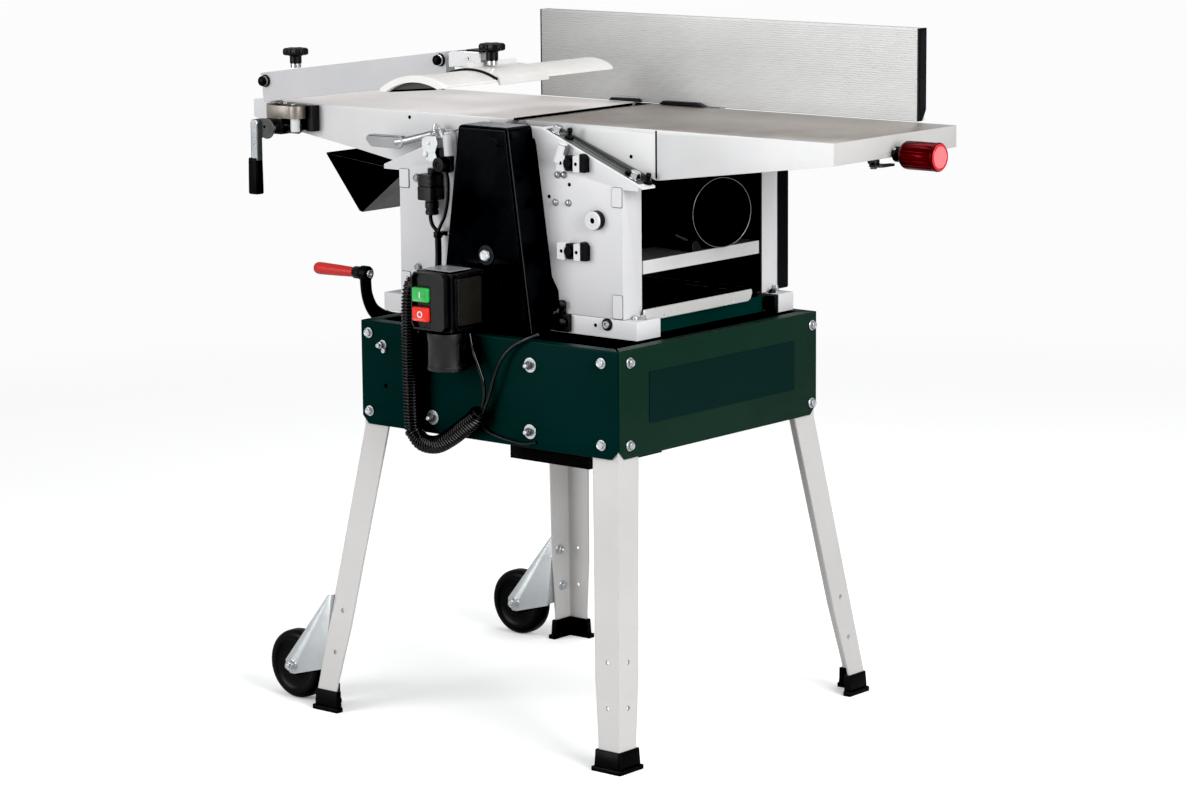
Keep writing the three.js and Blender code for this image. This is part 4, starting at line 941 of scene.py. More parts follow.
def guard_profile():
    near = -281
    section = (arch(0) + [(57.5, -2.6), (54.9, -2.6)] + arch(-2.4)[::-1]
               + [(-54.9, -2.6), (-57.5, -2.6)])
    rows = [[(x, near + (guard_far_end(across) - near) * t, z)
             for (across, _), (x, z) in zip(section, tilted(section))]
            for t in np.r_[np.linspace(0, 0.93, 22), np.linspace(0.95, 1.0, 6)]]
    piece("guard_profile", loft(rows), BLADE, "guard_white", "guard_blade", shade=35,
          replaces="guard_blade")
    # beads along the two long edges
    beads = [prism(tilted([(side * 57.3, 1.0), (side * 57.9, -2.8), (side * 54.6, -3.0),
                           (side * 54.8, 1.6)]), -280.6, 70) for side in (-1, 1)]
    piece("guard_profile_beads", beads, BLADE, "guard_white", "guard_blade", bevel=0.5)
    cap = tilted(arch(1.2) + [(58.4, -3.0), (48.5, -3.0)] + arch(-8.0, trim=0.93)[::-1]
                 + [(-48.5, -3.0), (-58.4, -3.0)])
    piece("guard_end_cap", prism(cap, -288, -279.5), WHITE, "plastic_white", "guard_blade",
          bevel=0.9, seg=3, shade=30)
    web = tilted(arch(-7.0, 24, trim=0.95) + [(48, -2.0), (-48, -2.0)])
    piece("guard_end_web", prism(web, -279.4, -276.6), SHADED, "plastic_white",
          "guard_blade", shade=30)
    edge = arch(-1.2)
    lip = [(x, guard_far_end(across) - 0.6, z)
           for (across, _), (x, z) in zip(edge, tilted(edge))]
    piece("guard_far_lip", tube(lip, 1.5, 10), ARM, "guard_white", "guard_blade", shade=40)


def guard_slider():
    """White shell that straddles the profile, with a black strip along its front edge."""
    shell = tilted(arch(3.8) + [(62.5, 1.5), (63.0, -6.0), (59.2, -6.0)] + arch(0.8)[::-1]
                   + [(-59.2, -6.0), (-63.0, -6.0), (-62.5, 1.5)])
    top_rib = tilted([(2, 18.6), (6.0, 18.4), (6.0, 24.8), (5.0, 25.6), (2.8, 25.6),
                      (2, 24.8)])
    right_lip = tilted([(57, 7.0), (63.4, 3.0), (63.4, -6.6), (60.0, -6.6), (60.0, 1.0)])
    pad = tilted([(-26, 16.0), (2.4, 19.0), (2.4, 22.4), (-26, 21.4)])
    piece("guard_slider_shell",
          [prism(shell, -175.2, -72), prism(top_rib, -175.5, -73),
           prism(right_lip, -175.5, -72.5), prism(pad, -150, -116)],
          WHITE_SLIDER, "plastic_white", "guard_holder", bevel=0.7, shade=30,
          replaces="guard_slider")
    piece("guard_slider_front_strip", prism(tilted(arch(3.4) + arch(0.3)[::-1]), -177.4, -175.3),
          RUBBER, "rubber_black", "guard_holder", shade=30)


def guard_fittings():
    head = 10.5                 # height of the star knobs' heads
    for part, x, y, top, foot in (("height", -444, -131, 932.0, 903.6),
                                  ("slide", -56, -139, 957.0, 927.0)):
        knob = star_knob(18.6, head, 8.6, top - head - foot - 6.0, at=(x, y, foot + 6.0))
        collar = lathe([(0, 0), (7.6, 0), (7.6, 5.6), (7.0, 6.2), (0, 6.2)],
                       at=(x, y, foot), seg=28, mat=1)
        button = lathe([(0, 0), (6.6, 0), (6.6, 0.5), (6.0, 0.9), (0, 1.0)],
                       at=(x, y, top - 0.6), seg=28)
        node = f"guard_{part}_knob"
        piece(f"guard_{part}_star", [knob, collar, button], [PLASTIC, BRIGHT],
              "plastic_black", node, bevel=0.5, angle=40, replaces=node)

    for side, x, z, body in (("left", -497.4, 882.0, "outfeed_table"),
                             ("right", -151.7, 929.3, "guard_holder")):
        collar = lathe([(0, 0), (8.9, 0), (9.2, 0.5), (9.2, 1.6), (8.6, 2.2), (0, 2.2)],
                       at=(x, -140.3, z), axis=FORWARD, seg=28)
        cap = lathe([(0, 0), (8.4, 0), (8.4, 2.2), (7.4, 3.0), (7.4, 6.5), (6.8, 8.6),
                     (4.8, 10.2), (2.2, 11.0), (0, 11.2)],
                    at=(x, -141.0, z), axis=FORWARD, seg=28)
        piece(f"guard_pivot_cap_{side}", [collar, cap], RUBBER, "plastic_black", body,
              bevel=0.3, angle=40)

    piece("guard_holder_cap", prism(rounded(34, 26, 3, (-84, -131.0)), 943.8, 946.6, "z"),
          PLASTIC, "plastic_black", "guard_holder", bevel=0.8)
    side = [(-126.5, 921.5), (-126.5, 940.0), (-123.0, 943.4), (-71, 943.4),
            (-69.6, 941.5), (-69.6, 926.0)]
    piece("guard_holder_side",
          [prism(side, -150.6, -147.1),
           socket_screw((-88, -150.6, 935), FORWARD, r=3.0, h=2.2, hole=1.5)],
          SILVER, "zinc_plated", "guard_holder", bevel=1.4, seg=3)

    # on the cast bracket at the left end
    piece("guard_bracket_bolts",
          [socket_screw((-478, -120, 847.9), UP, r=3.4, h=3, hole=1.8),
           socket_screw((-456, -126, 847.9), UP, r=3.4, h=2.4, hole=1.8),
           hex_bolt((-462.0, -130, 818.0), RIGHT, flats=8, h=4.0, washer=6.0, wt=1.0)],
          ZINC, "zinc_plated", "outfeed_table", bevel=0.2, seg=1)
    piece("guard_bracket_boss",
          lathe([(0, 809.6), (6.2, 809.6), (6.9, 810.4), (6.9, 829.3), (0, 829.3)],
                at=(-443, -136, 0), seg=30),
          SILVER, "cast_alu", "outfeed_table", bevel=0.8, angle=40)
    piece("guard_bracket_pad",
          prism(rounded(15.5, 14.5, 2.0, (-425.8, -117.2)), 810.5, 848.2, "z"),
          PLASTIC, "plastic_black", "outfeed_table", bevel=1.0, seg=3)
    piece("guard_bracket_shaft",
          [tube([(-461.8, -131, 816), (-441, -131, 816)], 9.4, 24),
           tube([(-470, -138, 818), (-436, -126, 818)], 6.4, 24)],
          PLASTIC, "plastic_black", "outfeed_table", bevel=0.6)


def guard_clamp_lever():
    """Zinc channel with a round cam plate and a hanging rubber grip."""
    pivot_x, pivot_z, cam_radius = -475.5, 815.0, 15
    cam = [(pivot_x + cam_radius * math.cos(a), pivot_z + cam_radius * math.sin(a))
           for a in np.linspace(-118 * RAD, 96 * RAD, 28)]
    cam += [(-486, 829.5), (-498.6, 828.0), (-498.6, 801), (-488, 800)]
    front = [(-500.3, 768), (-500.3, 824), (-497.5, 827.6), (-489.0, 827.6), (-486.4, 824),
             (-486.4, 768)]
    left = [(-171.0, 768), (-171.0, 824), (-168.2, 827.6), (-161.0, 827.6), (-161.0, 768)]
    right = [(-171.0, 768), (-171.0, 822), (-168.0, 826.6), (-161.0, 826.6), (-161.0, 768)]
    piece("clamp_lever_plates",
          [prism(cam, -163.6, -160.8, mat=1), prism(front, -171.0, -168.4),
           prism(left, -500.4, -498.0, "x"), prism(right, -488.6, -486.3, "x", mat=1),
           disc((pivot_x, -147.4, pivot_z), FORWARD, 4.2, 16.0, seg=22)],
          [ZINC, CAM], "zinc_plated", "guard_clamp_lever", bevel=0.8, angle=40,
          replaces="guard_clamp_lever")
    piece("clamp_lever_hole", disc((-479.0, -163.62, 817.6), FORWARD, 2.3, 0.35), HOLE,
          "zinc_plated", "guard_clamp_lever")
    # grip sections: height, width, depth
    grip = [(718, 16.4, 13.0), (718.8, 18.2, 14.8), (720, 19.0, 15.6), (746, 18.6, 15.4),
            (766, 18.0, 15.0), (769.5, 17.8, 14.8), (771.3, 16.4, 13.6)]
    rings = [[(x, y, z) for x, y in rounded(width, depth, 3.2, (-497.0, -165.4))]
             for z, width, depth in grip]
    piece("clamp_lever_grip", loft(rings), RUBBER, "rubber_black", "guard_clamp_lever",
          shade=35)


def outfeed_clamp_lever():
    """Folded handle, oval neck and a bolted hub square to the outfeed slope."""
    hub_x = -166.0
    hub_z = FLANGE_TOP + (hub_x + 84) * math.tan(SLOPE)
    handle = [(-226, 817.4), (-284, 816.6), (-289.5, 815.4), (-292.4, 811.8),
              (-291.4, 808.2), (-285, 801.6), (-280, 799.8), (-228, 799.6), (-222, 803),
              (-220.5, 809), (-222.5, 815)]
    lip = [(-224, 815.2), (-288, 814.2), (-288.6, 816.4), (-284, 817.4), (-224, 818.0)]
    path = smooth_path([(-236, -144.2, 808.5), (-218, -141.5, 811.5), (-196, -135.5, 817.5),
                        (-180, -130, 822.0), (-168.5, -127.5, 825.2)], 8)
    neck = tube(path, np.linspace(5.6, 5.0, len(path)), 18, squash=(0.72, 1.0), up=(0, 1, 0))
    s, c = math.sin(SLOPE), math.cos(SLOPE)
    axis = (-s, 0, c)
    hub_height = 14.6
    hub = lathe([(0, 0.4), (10.5, 0.4), (11.2, 1.2), (11.2, 13.2), (10.2, hub_height),
                 (0, hub_height)], at=(hub_x, -127, hub_z), axis=axis)
    piece("outfeed_lever_body",
          [prism(handle, -146.4, -143.6), prism(lip, -146.4, -137.5), neck, hub],
          DULL_ZINC, "zinc_plated", "outfeed_clamp_lever", bevel=0.7, angle=42,
          replaces="outfeed_clamp_lever")
    bolt = hex_bolt((hub_x - s * hub_height, -127, hub_z + c * hub_height), axis, flats=11,
                    h=6, washer=9.0, wt=1.4, shank=3)
    piece("outfeed_lever_bolt", bolt, BRIGHT, "zinc_plated", "outfeed_clamp_lever",
          bevel=0.2, seg=1)


def depth_knob():
    """Red knob with twelve grooves, on a threaded screw along X."""
    y0, z0 = 28, 824.2          # the screw's axis

    def turned(profile, seg, **options):
        return lathe(profile, (0, y0, z0), RIGHT, seg, **options)

    def grooves(radius, height, a):
        if radius < 15.8 or height > 575.5:
            return radius
        turn = (a * 12 / (2 * math.pi)) % 1.0
        return radius - 1.3 * math.exp(-(min(turn, 1 - turn) / 0.085) ** 2)

    side = turned([(7, 523), (13.8, 523), (16.8, 524.4), (18.7, 527.4), (19.1, 531),
                   (19.1, 573.0), (18.5, 574.2), (19.3, 575.0), (19.6, 576.4),
                   (19.4, 578.4), (18.4, 579.6), (7, 579.6), (7, 523)],
                  144, radial=grooves)
    rim = turned([(15.2, 579.0), (18.0, 579.0), (18.0, 579.9), (17.2, 580.9),
                  (16.2, 581.3), (15.2, 581.0), (15.2, 579.0)], 72, mat=4)
    end = turned([(0, 579.2), (14.9, 579.2), (14.9, 580.4), (14.0, 581.0), (12.0, 580.7),
                  (11.4, 581.0), (6, 581.15), (0, 581.2)], 72, mat=1)
    neck = turned([(5.6, 514.2), (8.4, 514.2), (9.2, 515.0), (9.2, 517.0), (7.6, 518.0),
                   (7.6, 520.4), (9.6, 521.6), (9.6, 523.6), (5.6, 523.6), (5.6, 514.2)],
                  36, mat=2)
    screw_r = 4.9
    screw = tube([(340, y0, z0), (515.5, y0, z0)], screw_r, 20, mat=3)
    piece("depth_knob_body", [side, rim, end, neck, screw],
          [RED_SIDE, RED_END, PLASTIC, STEEL, RED_RIM], "plastic_red", "depth_knob",
          shade=40, replaces="depth_knob")
    thread = [(screw_r + (0.35 if i % 2 else -0.35), 345 + i * 1.0) for i in range(1, 90)]
    # The thread shares the steel's slot number in the knob body.
    piece("depth_screw_thread", turned([(0, 345)] + thread + [(0, 436)], 18, mat=3), STEEL,
          "ground_steel", "depth_knob", shade=60)
    collar = [(5.0, 509.0), (9.6, 509.0), (10.4, 509.8), (10.4, 513.2), (9.6, 514.0),
              (5.0, 514.0), (5.0, 509.0)]
    piece("depth_screw_collar", turned(collar, 36), PLASTIC, "plastic_black", "depth_knob")
    piece("depth_collar_screw",
          socket_screw((511.5, y0 - 7.3, z0 + 7.3), (0, -0.70, 0.71), r=2.2, h=1.6, hole=0.9),
          BRIGHT, "zinc_plated", "depth_knob")
    clip = [(519.2, y0 + 8.1 * math.cos(a), z0 + 8.1 * math.sin(a))
            for a in np.linspace(0.5, 5.6, 26)]
    piece("depth_knob_clip", tube(clip, 0.9, 8), BRIGHT, "zinc_plated", "depth_knob")

    plate = [(487.5, -3), (493, -8.5), (502, -12.5), (510, -12.0), (513.6, -8), (514.4, 18),
             (511.4, 22.0), (507.0, 22.0), (504.0, 18), (500.5, 11.5), (490, 10.0)]
    boss = [(0, 812.2), (7.6, 812.2), (8.0, 813), (8.0, 817.4), (7.2, 818.2), (0, 818.2)]
    lip = [(-10.0, 811.8), (-10.0, 813.4), (-8.5, 814.0), (9, 814.0), (11, 813.4),
           (11, 811.8)]
    piece("depth_lock_plate",
          [prism(plate, 809.4, 812.4, "z"), lathe(boss, at=(490, 4, 0), seg=28),
           prism(lip, 511.8, 513.8, "x")],
          OILED, "zinc_plated", "depth_lock_lever", bevel=0.7, replaces="depth_lock_lever")
    piece("depth_lock_nut", hex_bolt((490, 4, 809.2), DOWN, flats=9, h=3, washer=6.5, wt=1),
          DARK_ZINC, "zinc_plated", "depth_lock_lever")


def crank():
    """Curved arm from a hub up to a red grip; both turn about X."""
    hub_at = (0, -62, 536)
    eye_at = (0, -151, 616)
    # (y, z) stations of the arm
    course = [(-62, 536), (-78, 537), (-100, 542), (-122, 551), (-138, 563), (-148, 582),
              (-151, 600), (-151, 616)]
    path = smooth_path([(-293.5, y, z) for y, z in course], 6)
    radii = np.interp(np.linspace(0, 1, len(path)), [0, 0.25, 0.5, 0.75, 1],
                      [13.0, 12.2, 10.8, 9.8, 10.2])
    arm = tube(path, radii, 22, squash=(1.0, 0.62), up=(0, 0, 1))
    hub = lathe([(0, -302), (12, -302), (14.6, -300.4), (15, -298), (15, -278),
                 (14, -275.4), (7.2, -274.4), (7.2, -196.5), (0, -196.5)],
                at=hub_at, axis=RIGHT, seg=36)
    eye = lathe([(0, -301.4), (8.6, -301.4), (10.8, -300.0), (11.0, -298), (11.0, -289),
                 (10.0, -287.0), (0, -286.6)], at=eye_at, axis=RIGHT, seg=36)
    cone = lathe([(18, -211), (18, -206), (12, -200.6), (7.2, -200.6), (7.2, -211),
                  (18, -211)], at=hub_at, axis=RIGHT, seg=36)
    piece("crank_arm_cast", [arm, hub, eye, cone], BLACK, "crank_black", "crank", shade=38,
          replaces="crank_arm")
    piece("crank_screws",
          [socket_screw((-286.7, *eye_at[1:]), RIGHT, r=6.2, h=3.4, hole=2.8),
           socket_screw((-302, *hub_at[1:]), LEFT, r=6.2, h=2.8, hole=3.0)],
          BRIGHT, "zinc_plated", "crank", bevel=0.2, seg=1)
    grip = lathe([(0, -392), (4.6, -391.8), (7.4, -390.6), (8.6, -388.0), (9.0, -383),
                  (8.8, -372), (8.1, -345), (7.3, -322), (7.0, -314.2), (4.3, -314.2),
                  (4.3, -389), (0, -389)], at=eye_at, axis=RIGHT, seg=40)
    collar = lathe([(4.3, -314), (8.6, -314), (9.0, -313.2), (9.0, -302.6), (8.4, -302.0),
                    (4.3, -302.0), (4.3, -314)], at=eye_at, axis=RIGHT, mat=1)
    piece("crank_grip_red", [grip, collar], [RED, PLASTIC], "plastic_red", "crank_grip",
          shade=38, replaces="crank_grip")


def wheels():
    x, z, half = -345, 51, 14.0         # the axle, and half a wheel's width
    # one side, hub to tread: radius, inset from the widest plane
    insets = [(6.7, 1.5), (15.5, 1.0), (16.5, 2.6), (20, 3.4), (33, 3.0), (36.5, 1.6),
              (38, 0.4), (42.5, 0), (46.5, 1.4), (49.4, 4.4), (50.4, 8.0)]
    side = [(radius, inset - half) for radius, inset in insets]
    profile = side + [(50.5, 0)] + [(r, -h) for r, h in reversed(side)] + side[:1]
    nut = dict(flats=13, h=6, washer=9.5, wt=1.6)
    for name, y in (("front", -250.0), ("rear", 242.0)):
        piece(f"wheel_{name}_disc", lathe(profile, at=(x, y, z), axis=BACK, seg=96), WHEEL,
              "wheel_black", f"wheel_{name}", replaces=f"wheel_{name}")
        piece(f"wheel_{name}_axle_nuts",
              [hex_bolt((x, y - half - 4.1, z), FORWARD, shank=4, **nut),
               hex_bolt((x, y + half + 6.1, z), BACK, **nut)],
              BRIGHT, "zinc_plated", bevel=0.2, seg=1)


def feet():
    """L-shaped rubber boots round the legs."""
    centre_x, centre_y, corner = 280.5, 281.5, 3.2
    # sole upwards: height, outer face, arm length, thickness, shift outwards
    levels = [(0, 6.2, 43.5, 12.0, 0), (0.9, 6.5, 44.0, 12.0, 0), (5.6, 6.5, 44.0, 12.0, 0),
              (6.6, 6.0, 43.6, 11.6, 0), (7.0, 3.6, 41.0, 10.0, 0), (14, 3.5, 40.4, 9.6, 0),
              (29.0, 3.4, 39.0, 9.0, -0.9), (30.0, 2.8, 38.6, 8.4, -1.0)]

    def ring(sx, sy, z, face, arm, thick, shift):
        bend = face - corner
        inner = face - thick
        outline = [(face, -arm)]
        outline += [(bend + corner * math.cos(a), bend + corner * math.sin(a))
                    for a in np.linspace(0, math.pi / 2, 7)]
        outline += [(-arm, face), (-arm, inner), (inner - 1.5, inner), (inner, inner - 1.5),
                    (inner, -arm)]
        return [(sx * (centre_x + u + shift), sy * (centre_y + v + shift), z)
                for u, v in outline]

    for name, sx, sy in (("front_left", -1, -1), ("front_right", 1, -1),
                         ("rear_left", -1, 1), ("rear_right", 1, 1)):
        piece(f"boot_{name}", loft([ring(sx, sy, *level) for level in levels]), RUBBER,
              "rubber_black", shade=34, bevel=0.35, seg=1, angle=40,
              replaces=f"foot_{name}")


def belt_cover():
    """Tapered cover, open below, that stands on the front plate."""
    centre, taper, top_half = -28, 0.142, 45
    bottom, top, front, wall = 567.0, 847.5, -194.0, 2

    def half(z):
        return top_half + taper * (top - z)

    def right_edge(z):
        return centre + half(z)

    def outline(inset):
        return [(centre - half(top) + inset, top - inset), (centre - half(bottom) + inset, bottom),
                (centre + half(bottom) - inset, bottom), (centre + half(top) - inset, top - inset)]

    # four rings: outer front, outer rear, inner rear, inner front
    verts = [(x, y, z) for inset, y in ((0, front), (0, -142.1), (wall, -142.1),
                                        (wall, front + wall)) for x, z in outline(inset)]
    faces = [(0, 1, 2, 3)]
    for a in (0, 4, 8):
        for i in (0, 2, 3):
            j = (i + 1) % 4
            faces.append((a + i, a + 4 + i, a + 4 + j, a + j))
    # inner face of the front, then the three rims of the open bottom
    faces += [(12, 15, 14, 13), (1, 13, 14, 2), (1, 5, 9, 13), (2, 14, 10, 6)]
    shell = piece("belt_cover_shell", Raw(verts, faces).outward(), COVER, "cover_black",
                  replaces="belt_cover")
    bevel = add_bevel(shell, 5.0, 5, 30, harden=True)
    bevel.limit_method = "WEIGHT"
    bevel.miter_outer = "MITER_SHARP"
    weights = []
    for edge in shell.data.edges:
        a, b = edge.vertices
        round_front = a < 4 and b < 4 and {a, b} != {1, 2}
        top_corner = a < 8 and b < 8 and abs(a - b) == 4 and a % 4 in (0, 3)
        weights.append(1.0 if round_front or top_corner else 0.0)
    attribute = shell.data.attributes.new("bevel_weight_edge", "FLOAT", "EDGE")
    attribute.data.foreach_set("value", weights)

    # painted reflection: a grey sheet over the cover's glossy top
    lid_and_sheen = rounded(2 * half(top) - 9, 44, 4.0, (centre, -166.5), n=4)
    piece("belt_cover_top_sheen", prism(lid_and_sheen, top + 0.02, top + 0.5, "z"), PAINTED_SHEEN, "cover_black",
          bevel=0.2, seg=1)
    # strip lying on the plate along the right edge: height it is measured at, offset, z
    flange = [(right_edge(z) + out, z) for z, out in
              ((830, 0.3), (830, 3.0), (822, 5.0), (640, 5.5), (622, 14), (600, 13),
               (592, 4), (592, 0.3))]
    piece("belt_cover_flange", prism(flange, PLATE_Y - 2.0, PLATE_Y), COVER, "cover_black",
          bevel=0.6)
    piece("belt_cover_bolt",
          hex_bolt((-22.3, front - 1.6, 669.6), FORWARD, flats=13.5, h=5.5, spin=0.5),
          PALE_BOLT, "plastic_white", bevel=0.3)
    washer = [(0, 0), (13.4, 0), (14.4, 0.6), (14.4, 1.0), (13.6, 1.6), (8.4, 1.7),
              (8.0, 1.3), (0, 1.3)]
    piece("belt_cover_washer",
          lathe(washer, at=(-22.3, front - 0.05, 669.6), axis=FORWARD, seg=36),
          PLASTIC, "plastic_black", shade=30)
    # raised arcs on the front face
    upper = [(-9.7 + 8.9 * t + 3.2 * math.sin(math.pi * t), front - 0.2,
              832.8 - 11.9 * t + 2.6 * math.sin(math.pi * t)) for t in np.linspace(0, 1, 12)]
    lower = [(38.8 - 17 * math.sin(a), front - 0.1, 594 + 17 * math.cos(a) - 6)
             for a in np.linspace(-0.1, 1.35, 14)]
    piece("belt_cover_arcs", [tube(upper, 0.9, 8), tube(lower, 0.9, 8)], COVER,
          "cover_black", shade=60)
    piece("belt_cover_screws",
          [socket_screw((x, front - 0.05, z), FORWARD, r=3.4, h=1.8, hole=1.6)
           for x, z in ((-55.5, 652), (-55.5, 594), (3, 633))],
          BLACK, "machine_black", bevel=0.2, seg=1)


def matched(outlines, centre):
    """Recuts outlines at shared angles round a centre, so that they can be joined."""
    centre = np.array(centre)

    def hit(outline, angle):
        ray = np.array([math.cos(angle), math.sin(angle)])
        nearest = None
        for k in range(len(outline)):
            start = np.array(outline[k]) - centre
            edge = np.array(outline[(k + 1) % len(outline)]) - centre - start
            cross = ray[0] * edge[1] - ray[1] * edge[0]
            if abs(cross) < 1e-9:
                continue
            reach = (start[0] * edge[1] - start[1] * edge[0]) / cross
            along = (start[0] * ray[1] - start[1] * ray[0]) / cross
            if reach > 0 and -1e-9 <= along <= 1 + 1e-9:
                nearest = reach if nearest is None else min(nearest, reach)
        return centre + ray * nearest

    angles = set(np.linspace(-math.pi, math.pi, 49)[:-1])
    angles |= {math.atan2(z - centre[1], x - centre[0])
               for outline in outlines for x, z in outline}
    return [[hit(outline, a) for a in sorted(angles)] for outline in outlines]


def switch_box():
    """Box at the left of the belt cover, with a recessed bay for two buttons."""
    body = [(-99.5, 578), (-93.5, 568.2), (-27.2, 568.2), (-27.2, 649.6), (-90, 651.6),
            (-99.5, 641)]
    piece("switch_side_panel",
          prism(rounded(48, 66, 3, (-227.0, 609.5)), -27.3, -25.0, "x"),
          BOX_LIT_SIDE, "plastic_black", bevel=0.7)
    lid_and_sheen = [(-94, 578), (-89.5, 570.2), (-38, 570.2), (-33, 575.5), (-33, 645),
           (-38, 650.2), (-88, 650.2), (-94, 643)]
    bay = [(-91.5, 579.5), (-88.5, 573), (-57.5, 573), (-57.5, 648), (-87, 648),
           (-91.5, 641.5)]
    left_flange = [(-103.5, 584), (-99.6, 580), (-99.6, 640), (-103.5, 636)]
    piece("switch_box_shell",
          [prism(body, -262.2, -194.4),
           # ribs framing the right side
           prism(rounded(5.5, 70, 2, (-255.0, 609.5)), -27.3, -24.2, "x"),
           prism(rounded(58, 5, 2, (-226.5, 647.5)), -27.3, -23.6, "x"),
           prism(rounded(58, 5, 2, (-226.5, 572.0)), -27.3, -23.6, "x"),
           framed(*matched((lid_and_sheen, bay), (-74.5, 610.0)), -272, -262.4),
           box(-92.2, -56.8, -265.6, -262.25, 572.2, 649),
           prism(left_flange, -258, -250)],
          BOX, "plastic_black", bevel=0.9, angle=40, replaces="switch_box")
    buttons(x=-74.4, height=19.8)
    mains_inlet(x=-43.5, y=-254)
    # painted reflection: a grey sheet on the box's glossy top
    piece("switch_top_sheen",
          prism([(-86, -257), (-34, -257), (-34, -214), (-86, -214)], 651.7, 653.0, "z"),
          PAINTED_SHEEN, "plastic_black", bevel=0.7)


def buttons(x, height):
    """Green start over red stop, each slightly dished, with a white mark."""
    start_z, stop_z = 619.0, 592.0
    piece("switch_button_frames",
          [framed(rounded(32.0, height + 2.4, 2.0, (x, z)),
                  rounded(29.6, height + 0.4, 1.6, (x, z)), -270.6, -265.8)
           for z in (start_z, stop_z)],
          PLASTIC, "plastic_black", bevel=0.3, shade=40)
    # y, width, amount taken off the height
    levels = [(-270.1, 28.8, 0), (-274.6, 28.8, 0), (-275.8, 28.0, 0.8),
              (-276.4, 26.4, 2.4), (-275.9, 21.0, 7.0)]
    mark_front, mark_back = -276.45, -275.85
    bar = box(x - 0.7, x + 0.7, mark_front, mark_back, start_z - 4.2, start_z + 4.2, mat=1)
    turns = [2 * math.pi * i / 28 for i in range(28)]
    hoop = skin([[(x + r * math.cos(a), y, stop_z + r * math.sin(a)) for a in turns]
                 for r, y in ((4.6, mark_back), (4.6, mark_front), (3.2, mark_front),
                              (3.2, mark_back))], mat=1, closed=True).outward()
    for name, z, mark, finish, slot in (("start", start_z, bar, GREEN_BUTTON, "button_green"),
                                        ("stop", stop_z, hoop, RED_BUTTON, "button_red")):
        cap = loft([[(u, y, v) for u, v in rounded(width, height - less, 2.0, (x, z), n=4)]
                    for y, width, less in levels])
        piece(f"{name}_button_cap", [cap, mark], [finish, MARK], slot, f"{name}_button",
              shade=35, replaces=f"{name}_button")


def mains_inlet(x, y):
    """Round shroud under the box, open below, with three pins."""
    shroud = [(27.8, 516.0), (28.2, 517.2), (28.2, 521), (27.4, 522), (27.4, 556),
              (28.4, 558), (28.4, 568.0), (22.0, 568.0), (21.6, 545), (23.6, 543),
              (24.4, 517.2), (25.0, 516.0), (27.8, 516.0)]
    pin = [(0, 524), (2.0, 524), (2.4, 524.6), (2.4, 545.2), (0, 545.2)]
    side_tab = [(-20.6, 556), (-15.2, 556), (-15.2, 532), (-17.0, 529), (-20.6, 529)]
    piece("mains_inlet",
          [lathe(shroud, at=(x, y, 0), seg=56),
           lathe([(0, 545), (21.8, 545), (21.8, 550), (0, 550)], at=(x, y, 0), seg=40),
           [lathe(pin, at=(x + 11 * math.cos(a), y + 11 * math.sin(a), 0), seg=16, mat=1)
            for a in (0.3, 2.4, 4.5)],
           prism(side_tab, -262, -246)],
          [INLET, BRIGHT], "plastic_black", bevel=0.4, seg=1, angle=50, shade=35)


def conduit():
    """Corrugated hose looping in front of the stand, and the cables near it."""
    y = -243.5
    course = [(-118, -236, 633), (-120.5, y, 612), (-122.5, y, 560), (-122.5, y, 500),
              (-120.3, y, 428.9), (-115.1, y, 415.2), (-100.5, y, 404.5), (-75.9, y, 404.7),
              (-51.1, y, 416.5), (-27.5, y, 432.3), (-6.3, y, 447.1), (5.3, y, 459.7)]
    crest, groove, pitch = 12.9, 2.7, 4.5
    points, distance = resample(smooth_path(course, 24), 0.5)
    phase = (distance / pitch) % 1.0
    radii = crest - groove * (0.5 - 0.5 * np.cos(2 * math.pi * phase)) ** 1.5
    radii[-8:] = 10.4           # plain cuff
    piece("conduit_hose", tube(points, radii, 28, up=(0, 1, 0)), HOSE, "plastic_black",
          shade=70, replaces="cable_conduit")
    right = smooth_path([(0, y, 447), (6, y + 4, 458), (16, y + 6, 480), (26, y + 6, 508),
                         (37, y + 7, 532), (55, -233, 553), (78, -230, 566),
                         (96, -224, 574)], 10)
    left = smooth_path([(-3, y + 3, 449), (3, y + 5, 462), (8, y + 6, 480), (8, y + 5, 500),
                        (2, y + 3, 520), (-6, -241, 538), (-13, -239, 553),
                        (-17, -238, 566)], 12)
    piece("conduit_cables", [tube(right, 2.5, 14), tube(left, 2.5, 14)], HOSE,
          "plastic_black", shade=60)
    low = smooth_path([(-6, -228, 437), (10, -226.8, 428), (40, -226.6, 422),
                       (70, -227, 420), (92, -226, 424)], 10)
    piece("panel_cable", tube(low, 2.0, 12), PLASTIC, "plastic_black", shade=60)
    collar = [(13.6, -5), (15.6, -4.2), (15.8, 0), (15.6, 4.2), (13.6, 5), (13.0, 0),
              (13.6, -5)]
    piece("conduit_collar",
          lathe(collar, at=(-118.4, -236.5, 622), axis=(0.02, 0.35, 1), seg=36),
          PLASTIC, "plastic_black", bevel=0.3, seg=1)


